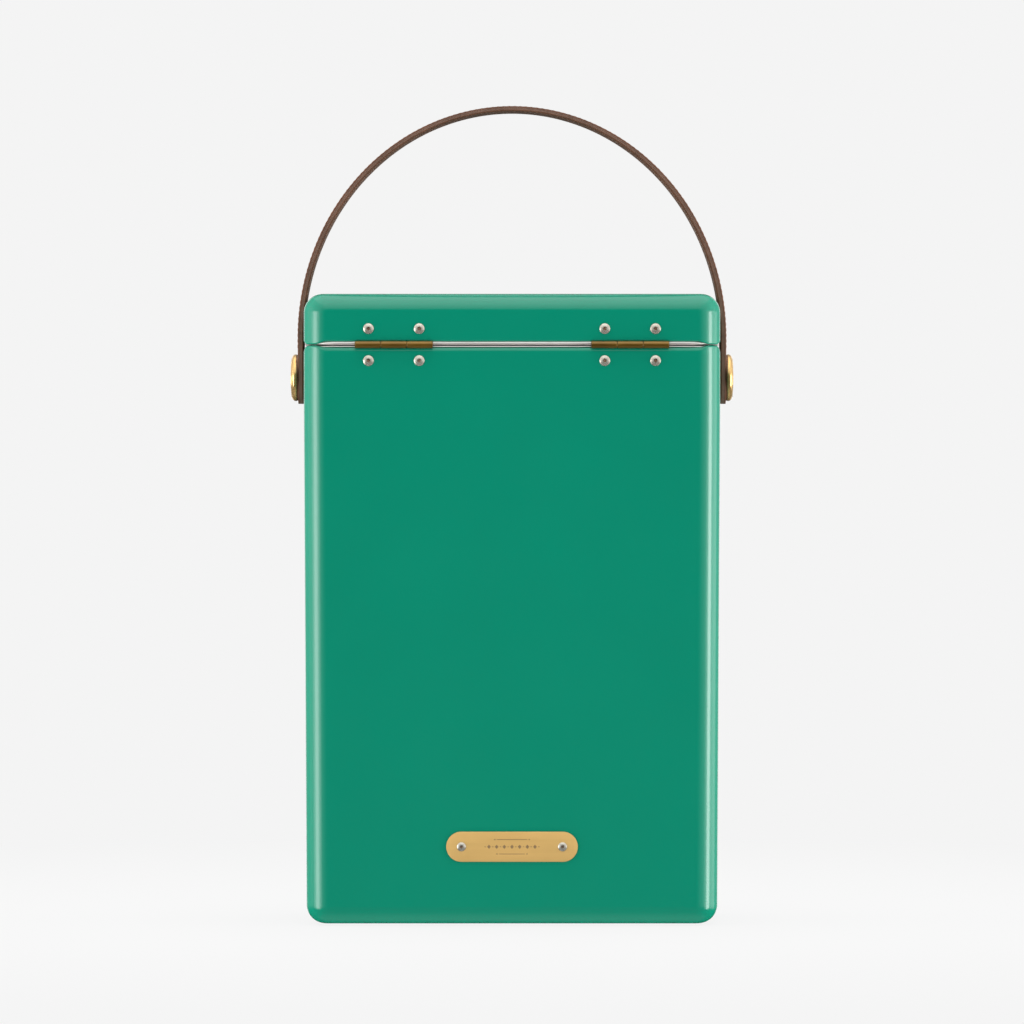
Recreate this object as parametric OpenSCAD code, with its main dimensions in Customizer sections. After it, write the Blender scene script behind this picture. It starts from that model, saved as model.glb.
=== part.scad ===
// Drinks cooler box: an insulated steel box with a hinged lid, a leather
// carrying strap and a hasp with a turn knob. Millimetres, +Z up.
// The front faces -Y, the hinges are at +Y, and z = 0 is the floor.

/* [Box] */
// Width of the box, side to side
box_w = 267; // [240:1:300]
// Depth of the box, front to back
box_d = 120; // [110:1:150]
// Height of the lid's top above the floor
box_top = 404.4; // [395:0.1:420]
// Height of the middle of the seam between lid and body
seam_z = 371.5; // [365:0.1:380]
// Wall thickness from the casing's outside to the liner's inside
wall = 14; // [12:0.5:18]
// Radius of the vertical edges
side_r = 15; // [13:0.5:18]
// Radius of the top and bottom edges
edge_r = 12; // [9:0.5:12.5]
// Sheet thickness of the painted casing
shell_t = 1; // [0.8:0.1:1.2]
// Sheet thickness of the stainless liner
liner_t = 0.8; // [0.6:0.1:1]
// Height of the rubber feet
foot_h = 1; // [0.8:0.1:1.5]
// How much each side leans in towards the bottom
draft = 1.8; // [0:0.1:2.5]

/* [Seam] */
// Open gap between the two stainless flanges
seam_gap = 0.8; // [0.6:0.1:1]
// Thickness of the tub's flange
body_rim_t = 1.1; // [1:0.1:1.2]
// Thickness of the lid pan's flange
lid_rim_t = 1.8; // [1.6:0.1:2]
// Corner radius of both flanges
rim_r = 20; // [18:0.5:22]

/* [Hinges] */
// Distance of each hinge's middle from the box's middle
hinge_x = 75.5; // [65:0.5:85]
// Length of a hinge
hinge_len = 49.6; // [45:0.1:52]
// Radius of the knuckles
knuckle_r = 2.35; // [2.2:0.05:2.5]
// Radius of the hinge pins
hinge_pin_r = 1.2; // [1:0.05:1.3]
// Distance of the hinge axis outside the back face
hinge_out = 0.8; // [0.7:0.05:1]
// Distance of the rivets from the hinge's middle along X
rivet_x = 16.2; // [14:0.1:18]
// Distance of the rivet rows from the seam
rivet_z = 10.2; // [9:0.1:11]
// Radius of a large rivet head
rivet_head_r = 3.4; // [3:0.1:3.6]

/* [Strap] */
// Half width of the strap's outer face
strap_half = 138.6; // [138.3:0.1:141]
// Height of the strap's top
strap_top = 527.2; // [520:0.1:540]
// Height at which the straight legs turn into the arch
arch_z = 377.5; // [375:0.1:385]
// Thickness of both leather plies together at the legs
strap_t = 3.7; // [3.5:0.1:4]
// Share of that thickness pared away at the strap's top
strap_paring = 0.15; // [0:0.05:0.3]
// Width of the strap
strap_w = 28; // [26:1:30]
// Height of the studs' middle
stud_z = 351.8; // [345:0.1:356]
// Radius of the studs
stud_r = 15.15; // [14.5:0.05:16]
// Length of the straight end below the stud's middle
strap_tail = 17; // [15:0.5:18]

/* [Nameplate] */
// Length of the nameplate
plate_len = 84; // [70:1:95]
// Height of the nameplate, twice its end radius
plate_h = 19.2; // [16:0.1:22]
// Height of the nameplate's middle
plate_z = 50.8; // [40:0.1:80]
// Distance of each nameplate rivet from the plate's middle
plate_rivet_x = 32.3; // [28:0.1:34]

/* [Latch] */
// Width of the hasp flap
flap_w = 24; // [22:1:26]
// Distance from the hasp's axis to the flap's free end
flap_len = 38.5; // [36:0.5:40]
// Distance from the hasp's axis to the slot's middle
slot_at = 25.5; // [25:0.5:26]
// Length of the slot
slot_len = 15.5; // [15:0.5:16]
// Width of the slot
slot_w = 6.6; // [6.4:0.1:7]
// Height of the hasp's axis below the seam
hasp_drop = 13; // [12:0.5:14]

/* [Hidden] */

green = [0.0, 0.54, 0.42];
steel = [0.78, 0.79, 0.80];
brass = [0.78, 0.64, 0.40];
foam = [0.93, 0.88, 0.70];
rubber = [0.12, 0.12, 0.12];
hide = [0.42, 0.28, 0.20];

$fn = 64;
fine = 48;        // sides of a hull's rounded vertical edge
hull_fn = 32;     // sides of a hull's rounded profile
dome_fn = 360;    // sides of a full circle, of which a dome uses a small arc
far = 400;        // longer than any cut
over = 1;         // how far a cut runs past a face
play = 0.02;      // radial play of a shank in its hole

// Latch parts on the front, out to the top of the turn knob's grip
plate_t = 1.2;          // sheet of the hasp base, the turn plate and the hinge leaves
hasp_out = 2.7;         // hasp axis outside the front face
hasp_knuckle_r = 2.2;
hasp_pin_r = 1.1;
flap_t = 1.4;
knob_from = 4.0;        // underside of the knob's head, outside the front face
knob_head_t = 2.4;
knob_grip_h = 3.1;
front_proud = knob_from + knob_head_t + knob_grip_h;
back_proud = hinge_out + knuckle_r;

// The origin is under the middle of the whole object, so the box sits a little back
mid_y = (front_proud - back_proud) / 2;
front_y = mid_y - box_d / 2;
back_y = mid_y + box_d / 2;
side_x = box_w / 2;

// Seam levels
body_rim_top = seam_z - seam_gap / 2;
body_top = body_rim_top - body_rim_t;
lid_rim_bottom = seam_z + seam_gap / 2;
lid_bottom = lid_rim_bottom + lid_rim_t;
body_roll_r = 1.8;      // rolled top edge of the body casing
lid_roll_r = 1;         // rolled lower edge of the lid casing
return_w = 7;           // inward return of both casings, measured from outside
rim_inset = 0.5;        // the flanges stand this far inside the casing
taper_top = 329;        // the sides are upright above this height
thin = 0.01;            // height of the ring that starts the taper
cavity_floor = foot_h + wall;
cavity_r = 14;          // corner radius of the tub
liner_out = wall - liner_t;

// Lid plug, a shallow pan that drops into the tub
plug_inset = wall + 1.6;
plug_depth = 5;

// Gasket in a groove of the lid's flange
gasket_in = 5;
gasket_w = 4;
groove_h = 1;
gasket_gap = 0.15;

// Hinges
hinge_y = back_y + hinge_out;
knuckle_gap = 0.2;
knuckle_len = (hinge_len - 2 * knuckle_gap) / 3;
knuckle_step = knuckle_len + knuckle_gap;
leaf_low = seam_z - 18.5;
leaf_high = seam_z + 18.5;
tongue_t = 1.1;
tongue_gap = 0.15;
leaf_in = shell_t;                  // the leaf lies against the casing's inside
leaf_back = leaf_in + plate_t;
slot_play = 0.2;
rivet_shank_r = 1.6;
rivet_hole_r = 1.1;
rivet_head_h = 1.3;
rivet_tail_r = 2.6;
rivet_tail_h = 2;

// Small rivets
small_head_r = 2.9;
small_head_h = 1;
small_shank_r = 1.4;
small_hole_r = 0.9;
nameplate_t = 1;

// Strap hardware, as distances from the box's side
strap_in = strap_half - strap_t;    // x of the strap's inner face
ply_t = strap_t / 2;
washer_t = 0.5;
washer_r = 9;
axial_play = 0.1;
post_r = 3;
post_play = 0.05;
eyelet_r = 4.5;
flange_r = 7;
cap_from = strap_half + axial_play;
cap_rim_t = 3.8;
cap_edge = 1.2;                     // bevel around the cap's outer face
post_end = cap_from + 2.6;
post_root = side_x - 9.2;
backing_w = 40;
backing_h = 24;
nut_t = 5;
nut_r = 5.77;                       // corner radius of the hexagon
tail_r = strap_w / 2;
stud_y = mid_y;

// Feet
foot_r = 8;
foot_inset_x = 32;
foot_inset_y = 35;

// Hasp
hasp_z = seam_z - hasp_drop;
hasp_y = front_y - hasp_out;
hasp_knuckle_w = 12;
hasp_side_w = 6.8;
hasp_gap = 0.2;
base_w = 46;
base_h = 15;
base_rivet_x = 18;
base_rivet_drop = 8.5;
flap_neck = 3;                      // the flap widens this far from the axis
knob_z = hasp_z + slot_at;
turn_w = 44;
turn_h = 17;
turn_rivet_x = 17;
knob_len = 14;
knob_w = 5.6;
knob_grip_t = 2.4;
knob_shaft_r = 2.3;
knob_tail_r = 4.5;
knob_tail_t = 1.2;
knob_play = 0.05;

// ---------- Shared shapes ----------

// A block with rounded vertical edges, exact
module pillar(w, d, r, z0, z1) {
    translate([0, mid_y, z0]) linear_extrude(z1 - z0) rounded_rect(w, d, r);
}

module rounded_rect(w, d, r) {
    square([w - 2 * r, d], center = true);
    square([w, d - 2 * r], center = true);
    for (x = [-1, 1], y = [-1, 1])
        translate([x * (w / 2 - r), y * (d / 2 - r)]) circle(r);
}

// The same block with rounded lower and upper edges too, as one hull. Its left
// and right sides lean in by `lean` from taper_top down.
module soft_block(inset, z0, z1, low_r, high_r, lean) {
    w = box_w - 2 * inset;
    d = box_d - 2 * inset;
    r = side_r - inset;
    translate([0, mid_y, 0]) hull() for (x = [-1, 1], y = [-1, 1]) {
        for (end = [[z0 + low_r, low_r, lean], [z1 - high_r, high_r, 0]])
            translate([x * (w / 2 - r - end[2]), y * (d / 2 - r), end[0]])
                rotate_extrude($fn = fine) translate([r - end[1], 0]) half_disc(end[1]);
        if (lean > 0)
            translate([x * (w / 2 - r), y * (d / 2 - r), taper_top]) cylinder(r = r, h = thin, $fn = fine);
    }
}

module half_disc(r) {
    intersection() {
        circle(r, $fn = hull_fn);
        translate([-r / 4, -r]) square([2 * r, 2 * r]);
    }
}

// A prism of a given inset from the casing
module inset_pillar(inset, r, z0, z1) {
    pillar(box_w - 2 * inset, box_d - 2 * inset, r, z0, z1);
}

// Moves its children to both hinges, or to one
module at_hinge(side) {
    translate([side * hinge_x, hinge_y, seam_z]) children();
}

module along_x(r, from, to) {
    translate([from, 0, 0]) rotate([0, 90, 0]) cylinder(r = r, h = to - from);
}

// A cylinder that points out of the back face, from depth `from` to `to`
module out_back(r, from, to) {
    translate([0, back_y + from, 0]) rotate([-90, 0, 0]) cylinder(r = r, h = to - from);
}

module out_front(r, from, to) {
    translate([0, front_y - from, 0]) rotate([90, 0, 0]) cylinder(r = r, h = to - from);
}

// A domed head on the y = 0 plane, pointing along +Y
module dome(r, h) {
    ball_r = (r * r + h * h) / (2 * h);
    rotate([-90, 0, 0]) rotate_extrude() intersection() {
        translate([0, h - ball_r]) circle(ball_r, $fn = dome_fn);
        square([r, h]);
    }
}

// A blind rivet along +Y: domed head with the mandrel's hole, shank and tail
module blind_rivet(head_r, head_h, shank_r, hole_r, grip, tail_r, tail_h) {
    difference() {
        union() {
            dome(head_r, head_h);
            translate([0, -grip, 0]) rotate([-90, 0, 0]) cylinder(r = shank_r, h = grip + head_h / 3);
            if (tail_h > 0)
                translate([0, -grip - tail_h, 0]) rotate([-90, 0, 0]) cylinder(r = tail_r, h = tail_h);
        }
        translate([0, -grip / 2, 0]) rotate([-90, 0, 0]) cylinder(r = hole_r, h = grip + head_h + over);
    }
}

module large_rivet(grip) {
    blind_rivet(rivet_head_r, rivet_head_h, rivet_shank_r, rivet_hole_r, grip, rivet_tail_r, rivet_tail_h);
}

module small_rivet(grip) {
    blind_rivet(small_head_r, small_head_h, small_shank_r, small_hole_r, grip, rivet_tail_r, rivet_tail_h);
}

// ---------- Where things are fastened ----------

module at_hinge_rivets(row) {
    for (side = [-1, 1], x = [-1, 1])
        translate([side * hinge_x + x * rivet_x, 0, seam_z + row * rivet_z]) children();
}

module at_plate_rivets() {
    for (x = [-1, 1]) translate([x * plate_rivet_x, 0, plate_z]) children();
}

module at_base_rivets() {
    for (x = [-1, 1]) translate([x * base_rivet_x, 0, hasp_z - base_rivet_drop]) children();
}

module at_turn_rivets() {
    for (x = [-1, 1]) translate([x * turn_rivet_x, 0, knob_z]) children();
}

// Space behind the casing that a rivet's tail takes
module back_tail_room(depth) {
    out_back(rivet_tail_r + slot_play, -depth, -shell_t / 2);
}

module front_tail_room(depth) {
    out_front(rivet_tail_r + slot_play, -depth, -shell_t / 2);
}

// Slot and pocket for one hinge's leaf behind the casing
module leaf_room(low, high) {
    for (side = [-1, 1])
        translate([side * hinge_x - hinge_len / 2 - slot_play, back_y - leaf_back - slot_play, low])
            cube([hinge_len + 2 * slot_play, plate_t + slot_play, high - low]);
}

// Opening in a flange behind both hinges' knuckles
module rim_notch(low, high) {
    for (side = [-1, 1])
        translate([side * hinge_x - hinge_len / 2 - slot_play, back_y - leaf_back - slot_play, low])
            cube([hinge_len + 2 * slot_play, leaf_back + far, high - low]);
}

// ---------- Body ----------

module body_shell() {
    color(green) difference() {
        soft_block(0, foot_h, body_top, edge_r, body_roll_r, draft);
        soft_block(shell_t, foot_h + shell_t, body_top - shell_t, edge_r - shell_t,
            body_roll_r - shell_t, draft);
        inset_pillar(return_w, side_r - return_w, body_top - 2 * shell_t, body_top + over);
        leaf_room(body_top - body_roll_r, body_top + over);
        at_hinge_rivets(-1) out_back(rivet_shank_r + play, -3, over);
        at_plate_rivets() out_back(small_shank_r + play, -3, over);
        at_base_rivets() out_front(small_shank_r + play, -3, over);
        translate([0, stud_y, stud_z]) along_x(post_r + play, -far, far);
    }
}

module body_liner() {
    color(steel) difference() {
        union() {
            inset_pillar(liner_out, cavity_r + liner_t, cavity_floor - liner_t, body_rim_top);
            inset_pillar(rim_inset, rim_r, body_top, body_rim_top);
        }
        inset_pillar(wall, cavity_r, cavity_floor, body_rim_top + over);
        rim_notch(body_top - over, body_rim_top + over);
    }
}

module body_insulation() {
    color(foam) difference() {
        union() {
            soft_block(shell_t, foot_h + shell_t, body_top - shell_t, edge_r - shell_t,
            body_roll_r - shell_t, draft);
            inset_pillar(return_w, side_r - return_w, body_top - 2 * shell_t, body_top);
        }
        inset_pillar(liner_out, cavity_r + liner_t, cavity_floor - liner_t, body_top + over);
        leaf_room(leaf_low - slot_play, body_top + over);
        at_hinge_rivets(-1) back_tail_room(leaf_back + rivet_tail_h + slot_play);
        at_plate_rivets() back_tail_room(shell_t + rivet_tail_h + slot_play);
        at_base_rivets() front_tail_room(shell_t + rivet_tail_h + slot_play);
        for (side = [-1, 1]) strap_pocket(side);
    }
}

// Room inside the wall for a post, its plate and its nut
module strap_pocket(side) {
    inner = post_root - slot_play;
    outer = side_x - shell_t;
    translate([side * (inner + outer) / 2, stud_y, stud_z])
        cube([outer - inner + play, backing_w + 2 * slot_play, backing_h + 2 * slot_play], center = true);
}

module rubber_feet() {
    color(rubber)
        for (x = [-1, 1], y = [-1, 1])
            translate([x * (side_x - foot_inset_x), mid_y + y * (box_d / 2 - foot_inset_y), 0])
                cylinder(r = foot_r, h = foot_h);
}

module nameplate() {
    half = plate_len / 2 - plate_h / 2;
    color(brass) difference() {
        union() {
            translate([0, back_y + nameplate_t / 2, plate_z])
                cube([2 * half, nameplate_t, plate_h], center = true);
            for (x = [-1, 1])
                translate([x * half, 0, plate_z]) out_back(plate_h / 2, 0, nameplate_t);
        }
        at_plate_rivets() out_back(small_shank_r + play, -over, nameplate_t + over);
    }
}

module nameplate_rivets() {
    color(steel) at_plate_rivets() translate([0, back_y + nameplate_t, 0])
        small_rivet(nameplate_t + shell_t);
}

// ---------- Hinges ----------

// A leaf: knuckles, a tongue through the seam and a plate behind the casing.
// `up` is 1 for the lid's leaf and -1 for the body's. `knuckles` lists its knuckles'
// places and `others` those of the other leaf, which turn in a hollow of this one.
module leaf(side, up, knuckles, others, bore_r) {
    plate_far = up > 0 ? leaf_high : leaf_low;
    tongue_from = up > 0 ? seam_z + tongue_gap : seam_z - tongue_gap - tongue_t;
    plate_near = up > 0 ? tongue_from : tongue_from + tongue_t;
    color(brass) difference() {
        union() {
            at_hinge(side) for (k = knuckles) knuckle_at(k, knuckle_r, 0);
            for (k = knuckles)
                translate([side * hinge_x + k * knuckle_step - knuckle_len / 2,
                    back_y - leaf_back, tongue_from])
                    cube([knuckle_len, leaf_back + hinge_out, tongue_t]);
            translate([side * hinge_x - hinge_len / 2, back_y - leaf_back, min(plate_far, plate_near)])
                cube([hinge_len, plate_t, abs(plate_far - plate_near)]);
        }
        at_hinge(side) along_x(bore_r, -far, far);
        at_hinge(side) for (k = others) knuckle_at(k, knuckle_r + tongue_gap, knuckle_gap / 2);
        at_hinge_rivets(up) out_back(rivet_shank_r + play, -5, over);
    }
}

module knuckle_at(k, r, more) {
    reach = knuckle_len / 2 + more;
    along_x(r, k * knuckle_step - reach, k * knuckle_step + reach);
}

module hinge_pin(side) {
    color(brass) at_hinge(side) along_x(hinge_pin_r, -hinge_len / 2, hinge_len / 2);
}

module hinge_rivets(up) {
    color(steel) at_hinge_rivets(up) translate([0, back_y, 0]) large_rivet(leaf_back);
}

// ---------- Strap hardware ----------

module at_stud(side) {
    translate([0, stud_y, stud_z]) mirror([side < 0 ? 1 : 0, 0, 0]) children();
}

module strap_post(side) {
    color(brass) at_stud(side) along_x(post_r, post_root, post_end);
}

module spacer_washer(side) {
    color(brass) at_stud(side) difference() {
        along_x(washer_r, side_x, side_x + washer_t);
        along_x(post_r + play, side_x - over, side_x + washer_t + over);
    }
}

module stud_cap(side) {
    color(brass) at_stud(side) difference() {
        union() {
            along_x(stud_r, cap_from, cap_from + cap_rim_t);
            translate([cap_from + cap_rim_t, 0, 0]) rotate([0, 90, 0])
                cylinder(h = cap_edge, r1 = stud_r, r2 = stud_r - cap_edge);
        }
        along_x(post_r + play, cap_from - over, post_end + play);
    }
}

module backing_plate(side) {
    color(steel) at_stud(side) difference() {
        translate([side_x - shell_t - plate_t, -backing_w / 2, -backing_h / 2])
            cube([plate_t, backing_w, backing_h]);
        along_x(post_r + play, side_x - wall, side_x);
    }
}

module post_nut(side) {
    inner = side_x - shell_t - plate_t - nut_t;
    color(steel) at_stud(side) difference() {
        translate([inner, 0, 0]) rotate([0, 90, 0]) cylinder(r = nut_r, h = nut_t, $fn = 6);
        along_x(post_r + play, inner - over, inner + nut_t + over);
    }
}

// ---------- Latch base ----------

module hasp_base() {
    side_mid = hasp_knuckle_w / 2 + hasp_gap + hasp_side_w / 2;
    color(brass) difference() {
        union() {
            translate([-base_w / 2, front_y - plate_t, hasp_z + hasp_knuckle_r - base_h])
                cube([base_w, plate_t, base_h]);
            for (x = [-1, 1])
                translate([x * side_mid - hasp_side_w / 2, hasp_y, hasp_z])
                    along_x(hasp_knuckle_r, 0, hasp_side_w);
        }
        translate([0, hasp_y, hasp_z]) {
            along_x(hasp_pin_r + play, -far, far);
            along_x(hasp_knuckle_r + 0.4, -hasp_knuckle_w / 2 - hasp_gap, hasp_knuckle_w / 2 + hasp_gap);
        }
        at_base_rivets() out_front(small_shank_r + play, -over, plate_t + over);
    }
}

module hasp_base_rivets() {
    color(steel) at_base_rivets() translate([0, front_y - plate_t, 0]) mirror([0, 1, 0])
        small_rivet(plate_t + shell_t);
}

module hasp_pin() {
    reach = hasp_knuckle_w / 2 + hasp_gap + hasp_side_w;
    color(brass) translate([0, hasp_y, hasp_z]) along_x(hasp_pin_r, -reach, reach);
}

module hasp_flap() {
    end_r = flap_w / 2;
    color(brass) translate([0, hasp_y, hasp_z]) difference() {
        union() {
            along_x(hasp_knuckle_r, -hasp_knuckle_w / 2, hasp_knuckle_w / 2);
            translate([-hasp_knuckle_w / 2, -flap_t / 2, -flap_neck - over])
                cube([hasp_knuckle_w, flap_t, flap_neck + over]);
            rotate([90, 0, 0]) translate([0, 0, -flap_t / 2]) linear_extrude(flap_t)
                flap_outline(end_r);
        }
        along_x(hasp_pin_r + play, -far, far);
        rotate([90, 0, 0]) translate([0, 0, -flap_t]) linear_extrude(2 * flap_t) flap_slot();
    }
}

module flap_outline(end_r) {
    translate([-end_r, -flap_len + end_r]) square([flap_w, flap_len - end_r - flap_neck]);
    translate([0, -flap_len + end_r]) circle(end_r);
}

module flap_slot() {
    reach = slot_len / 2 - slot_w / 2;
    translate([-slot_w / 2, -slot_at - reach]) square([slot_w, 2 * reach]);
    for (z = [-1, 1]) translate([0, -slot_at + z * reach]) circle(slot_w / 2);
}

// ---------- Lid ----------

module lid_shell() {
    color(green) difference() {
        soft_block(0, lid_bottom, box_top, lid_roll_r, edge_r, 0);
        soft_block(shell_t, lid_bottom + shell_t, box_top - shell_t, lid_roll_r / 2,
            edge_r - shell_t, 0);
        inset_pillar(return_w, side_r - return_w, lid_bottom - over, lid_bottom + 2 * shell_t);
        leaf_room(lid_bottom - over, lid_bottom + 2 * shell_t);
        at_hinge_rivets(1) out_back(rivet_shank_r + play, -3, over);
        at_turn_rivets() out_front(small_shank_r + play, -3, over);
        translate([0, 0, knob_z]) out_front(knob_shaft_r + knob_play, -3, over);
    }
}

module lid_liner() {
    color(steel) difference() {
        union() {
            inset_pillar(rim_inset, rim_r, lid_rim_bottom, lid_bottom);
            inset_pillar(plug_inset, cavity_r - 1.6, lid_rim_bottom - plug_depth, lid_bottom);
        }
        inset_pillar(plug_inset + liner_t, cavity_r - 1.6 - liner_t,
            lid_rim_bottom - plug_depth + liner_t, lid_bottom + over);
        gasket_ring(lid_rim_bottom - over, lid_rim_bottom + groove_h);
        rim_notch(lid_rim_bottom - over, lid_bottom + over);
    }
}

module gasket_ring(z0, z1) {
    difference() {
        inset_pillar(gasket_in, side_r, z0, z1);
        inset_pillar(gasket_in + gasket_w, side_r - gasket_w, z0 - over, z1 + over);
    }
}

module lid_gasket() {
    color(rubber) gasket_ring(body_rim_top + gasket_gap, lid_rim_bottom + groove_h);
}

module lid_insulation() {
    color(foam) difference() {
        union() {
            soft_block(shell_t, lid_bottom + shell_t, box_top - shell_t, lid_roll_r / 2,
            edge_r - shell_t, 0);
            inset_pillar(return_w, side_r - return_w, lid_bottom, lid_bottom + 2 * shell_t);
            inset_pillar(plug_inset + liner_t, cavity_r - 1.6 - liner_t,
                lid_rim_bottom - plug_depth + liner_t, lid_bottom + over);
        }
        leaf_room(lid_bottom - over, leaf_high + slot_play);
        at_hinge_rivets(1) back_tail_room(leaf_back + rivet_tail_h + slot_play);
        at_turn_rivets() front_tail_room(shell_t + rivet_tail_h + slot_play);
        translate([0, 0, knob_z])
            out_front(knob_tail_r + slot_play, -shell_t - knob_tail_t - 2 * slot_play, -shell_t / 2);
    }
}

module turn_plate() {
    color(brass) difference() {
        union() {
            translate([-turn_w / 2 + turn_h / 2, front_y - plate_t, knob_z - turn_h / 2])
                cube([turn_w - turn_h, plate_t, turn_h]);
            for (x = [-1, 1])
                translate([x * (turn_w / 2 - turn_h / 2), 0, knob_z]) out_front(turn_h / 2, 0, plate_t);
        }
        at_turn_rivets() out_front(small_shank_r + play, -over, plate_t + over);
        translate([0, 0, knob_z]) out_front(knob_shaft_r + knob_play, -over, plate_t + over);
    }
}

module turn_plate_rivets() {
    color(steel) at_turn_rivets() translate([0, front_y - plate_t, 0]) mirror([0, 1, 0])
        small_rivet(plate_t + shell_t);
}

// Knob with its long side upright, which lets it pass through the flap's slot
module turn_knob() {
    tail = shell_t + slot_play;
    half = knob_len / 2 - knob_w / 2;
    color(brass) translate([0, 0, knob_z]) {
        out_front(knob_shaft_r, -tail, knob_from);
        out_front(knob_tail_r, -tail - knob_tail_t, -tail);
        translate([-knob_w / 2, front_y - knob_from - knob_head_t, -half])
            cube([knob_w, knob_head_t, 2 * half]);
        for (z = [-1, 1])
            translate([0, 0, z * half]) out_front(knob_w / 2, knob_from, knob_from + knob_head_t);
        translate([-knob_grip_t / 2, front_y - front_proud, -half])
            cube([knob_grip_t, knob_grip_h + over, 2 * half]);
    }
}

// ---------- Strap ----------

arch_steps = 48;

// Point of the strap's outer face at angle t, moved inward by `depth`, which is pared towards the top
function arch_point(t, depth) =
    let(a = strap_half, b = strap_top - arch_z, d = depth * (1 - strap_paring * pow(sin(t), 2)),
        nx = cos(t) / a, nz = sin(t) / b, n = sqrt(nx * nx + nz * nz))
    [a * cos(t) - d * nx / n, arch_z + b * sin(t) - d * nz / n];

function face_points(depth) = concat(
    [[strap_half - depth, stud_z - strap_tail - over]],
    [for (i = [0:arch_steps]) arch_point(180 * i / arch_steps, depth)],
    [[-strap_half + depth, stud_z - strap_tail - over]]);

// One leather ply between two depths below the strap's outer face
module ply(outer_depth, inner_depth) {
    outer = face_points(outer_depth);
    inner = face_points(inner_depth);
    back = [for (i = [len(inner) - 1:-1:0]) inner[i]];
    color(hide) difference() {
        intersection() {
            translate([0, stud_y + strap_w / 2, 0]) rotate([90, 0, 0])
                linear_extrude(strap_w) polygon(concat(outer, back));
            strap_side_view();
        }
        translate([0, stud_y, stud_z]) along_x(eyelet_r + play, -far, far);
    }
}

// Side view of the strap with its rounded ends, extruded across the box
module strap_side_view() {
    end_z = stud_z - strap_tail + tail_r;
    translate([-box_w, stud_y - strap_w / 2, end_z])
        cube([2 * box_w, strap_w, strap_top - end_z + over]);
    translate([0, stud_y, end_z]) along_x(tail_r, -box_w, box_w);
}

module strap_eyelet(side) {
    color(brass) at_stud(side) difference() {
        union() {
            along_x(eyelet_r, strap_in, strap_half);
            along_x(flange_r, side_x + washer_t + axial_play, strap_in);
        }
        along_x(post_r + post_play, side_x, strap_half + over);
    }
}

// ---------- Assembly ----------

body_shell();
body_liner();
body_insulation();
rubber_feet();
nameplate();
nameplate_rivets();
leaf(-1, -1, [-1, 1], [0], hinge_pin_r + play);  // hinge_body_leaf_left
leaf(1, -1, [-1, 1], [0], hinge_pin_r + play);  // hinge_body_leaf_right
hinge_pin(-1);  // hinge_pin_left
hinge_pin(1);  // hinge_pin_right
hinge_rivets(-1);  // body_hinge_rivets
strap_post(-1);  // strap_post_left
strap_post(1);  // strap_post_right
spacer_washer(-1);  // spacer_washer_left
spacer_washer(1);  // spacer_washer_right
stud_cap(-1);  // stud_cap_left
stud_cap(1);  // stud_cap_right
backing_plate(-1);  // backing_plate_left
backing_plate(1);  // backing_plate_right
post_nut(-1);  // post_nut_left
post_nut(1);  // post_nut_right
hasp_base();
hasp_base_rivets();
hasp_pin();
lid_shell();
lid_liner();
lid_insulation();
lid_gasket();
leaf(-1, 1, [0], [-1, 1], hinge_pin_r + post_play);  // hinge_lid_leaf_left
leaf(1, 1, [0], [-1, 1], hinge_pin_r + post_play);  // hinge_lid_leaf_right
hinge_rivets(1);  // lid_hinge_rivets
turn_plate();
turn_plate_rivets();
ply(0, ply_t);  // strap_outer
ply(ply_t, strap_t);  // strap_lining
strap_eyelet(-1);  // strap_eyelet_left
strap_eyelet(1);  // strap_eyelet_right
hasp_flap();
turn_knob();
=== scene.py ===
"""Looks of the drinks cooler box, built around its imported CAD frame.

Lengths in the builders below are millimetres; mesh_piece() turns them into metres. +Z is up, the latch side faces
-Y and the hinge side, which the camera sees, faces +Y.
"""

import bisect
import math

import bpy
import bmesh
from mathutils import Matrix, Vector

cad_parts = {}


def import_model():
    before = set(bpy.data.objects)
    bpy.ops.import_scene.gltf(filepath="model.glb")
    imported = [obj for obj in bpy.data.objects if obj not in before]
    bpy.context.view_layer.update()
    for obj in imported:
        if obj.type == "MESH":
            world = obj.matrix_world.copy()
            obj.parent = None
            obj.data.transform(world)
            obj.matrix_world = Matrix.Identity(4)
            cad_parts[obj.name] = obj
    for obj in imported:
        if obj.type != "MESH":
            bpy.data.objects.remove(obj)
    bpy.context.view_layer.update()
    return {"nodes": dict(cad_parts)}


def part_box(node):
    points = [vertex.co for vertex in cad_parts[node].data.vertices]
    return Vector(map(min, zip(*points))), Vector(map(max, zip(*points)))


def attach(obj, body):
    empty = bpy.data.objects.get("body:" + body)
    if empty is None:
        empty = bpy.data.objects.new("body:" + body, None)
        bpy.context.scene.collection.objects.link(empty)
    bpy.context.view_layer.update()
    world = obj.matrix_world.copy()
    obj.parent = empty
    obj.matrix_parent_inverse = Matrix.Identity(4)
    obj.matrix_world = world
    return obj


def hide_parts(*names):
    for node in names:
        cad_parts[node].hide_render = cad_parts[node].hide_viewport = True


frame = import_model()
nodes = frame["nodes"]
MM = 0.001


# ---------- Places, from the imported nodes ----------


def span(node):
    """A CAD node's lowest and highest corners in millimetres."""
    low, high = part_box(node)
    return Vector(low) / MM, Vector(high) / MM


def middle(node):
    low, high = span(node)
    return (low + high) / 2


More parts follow.
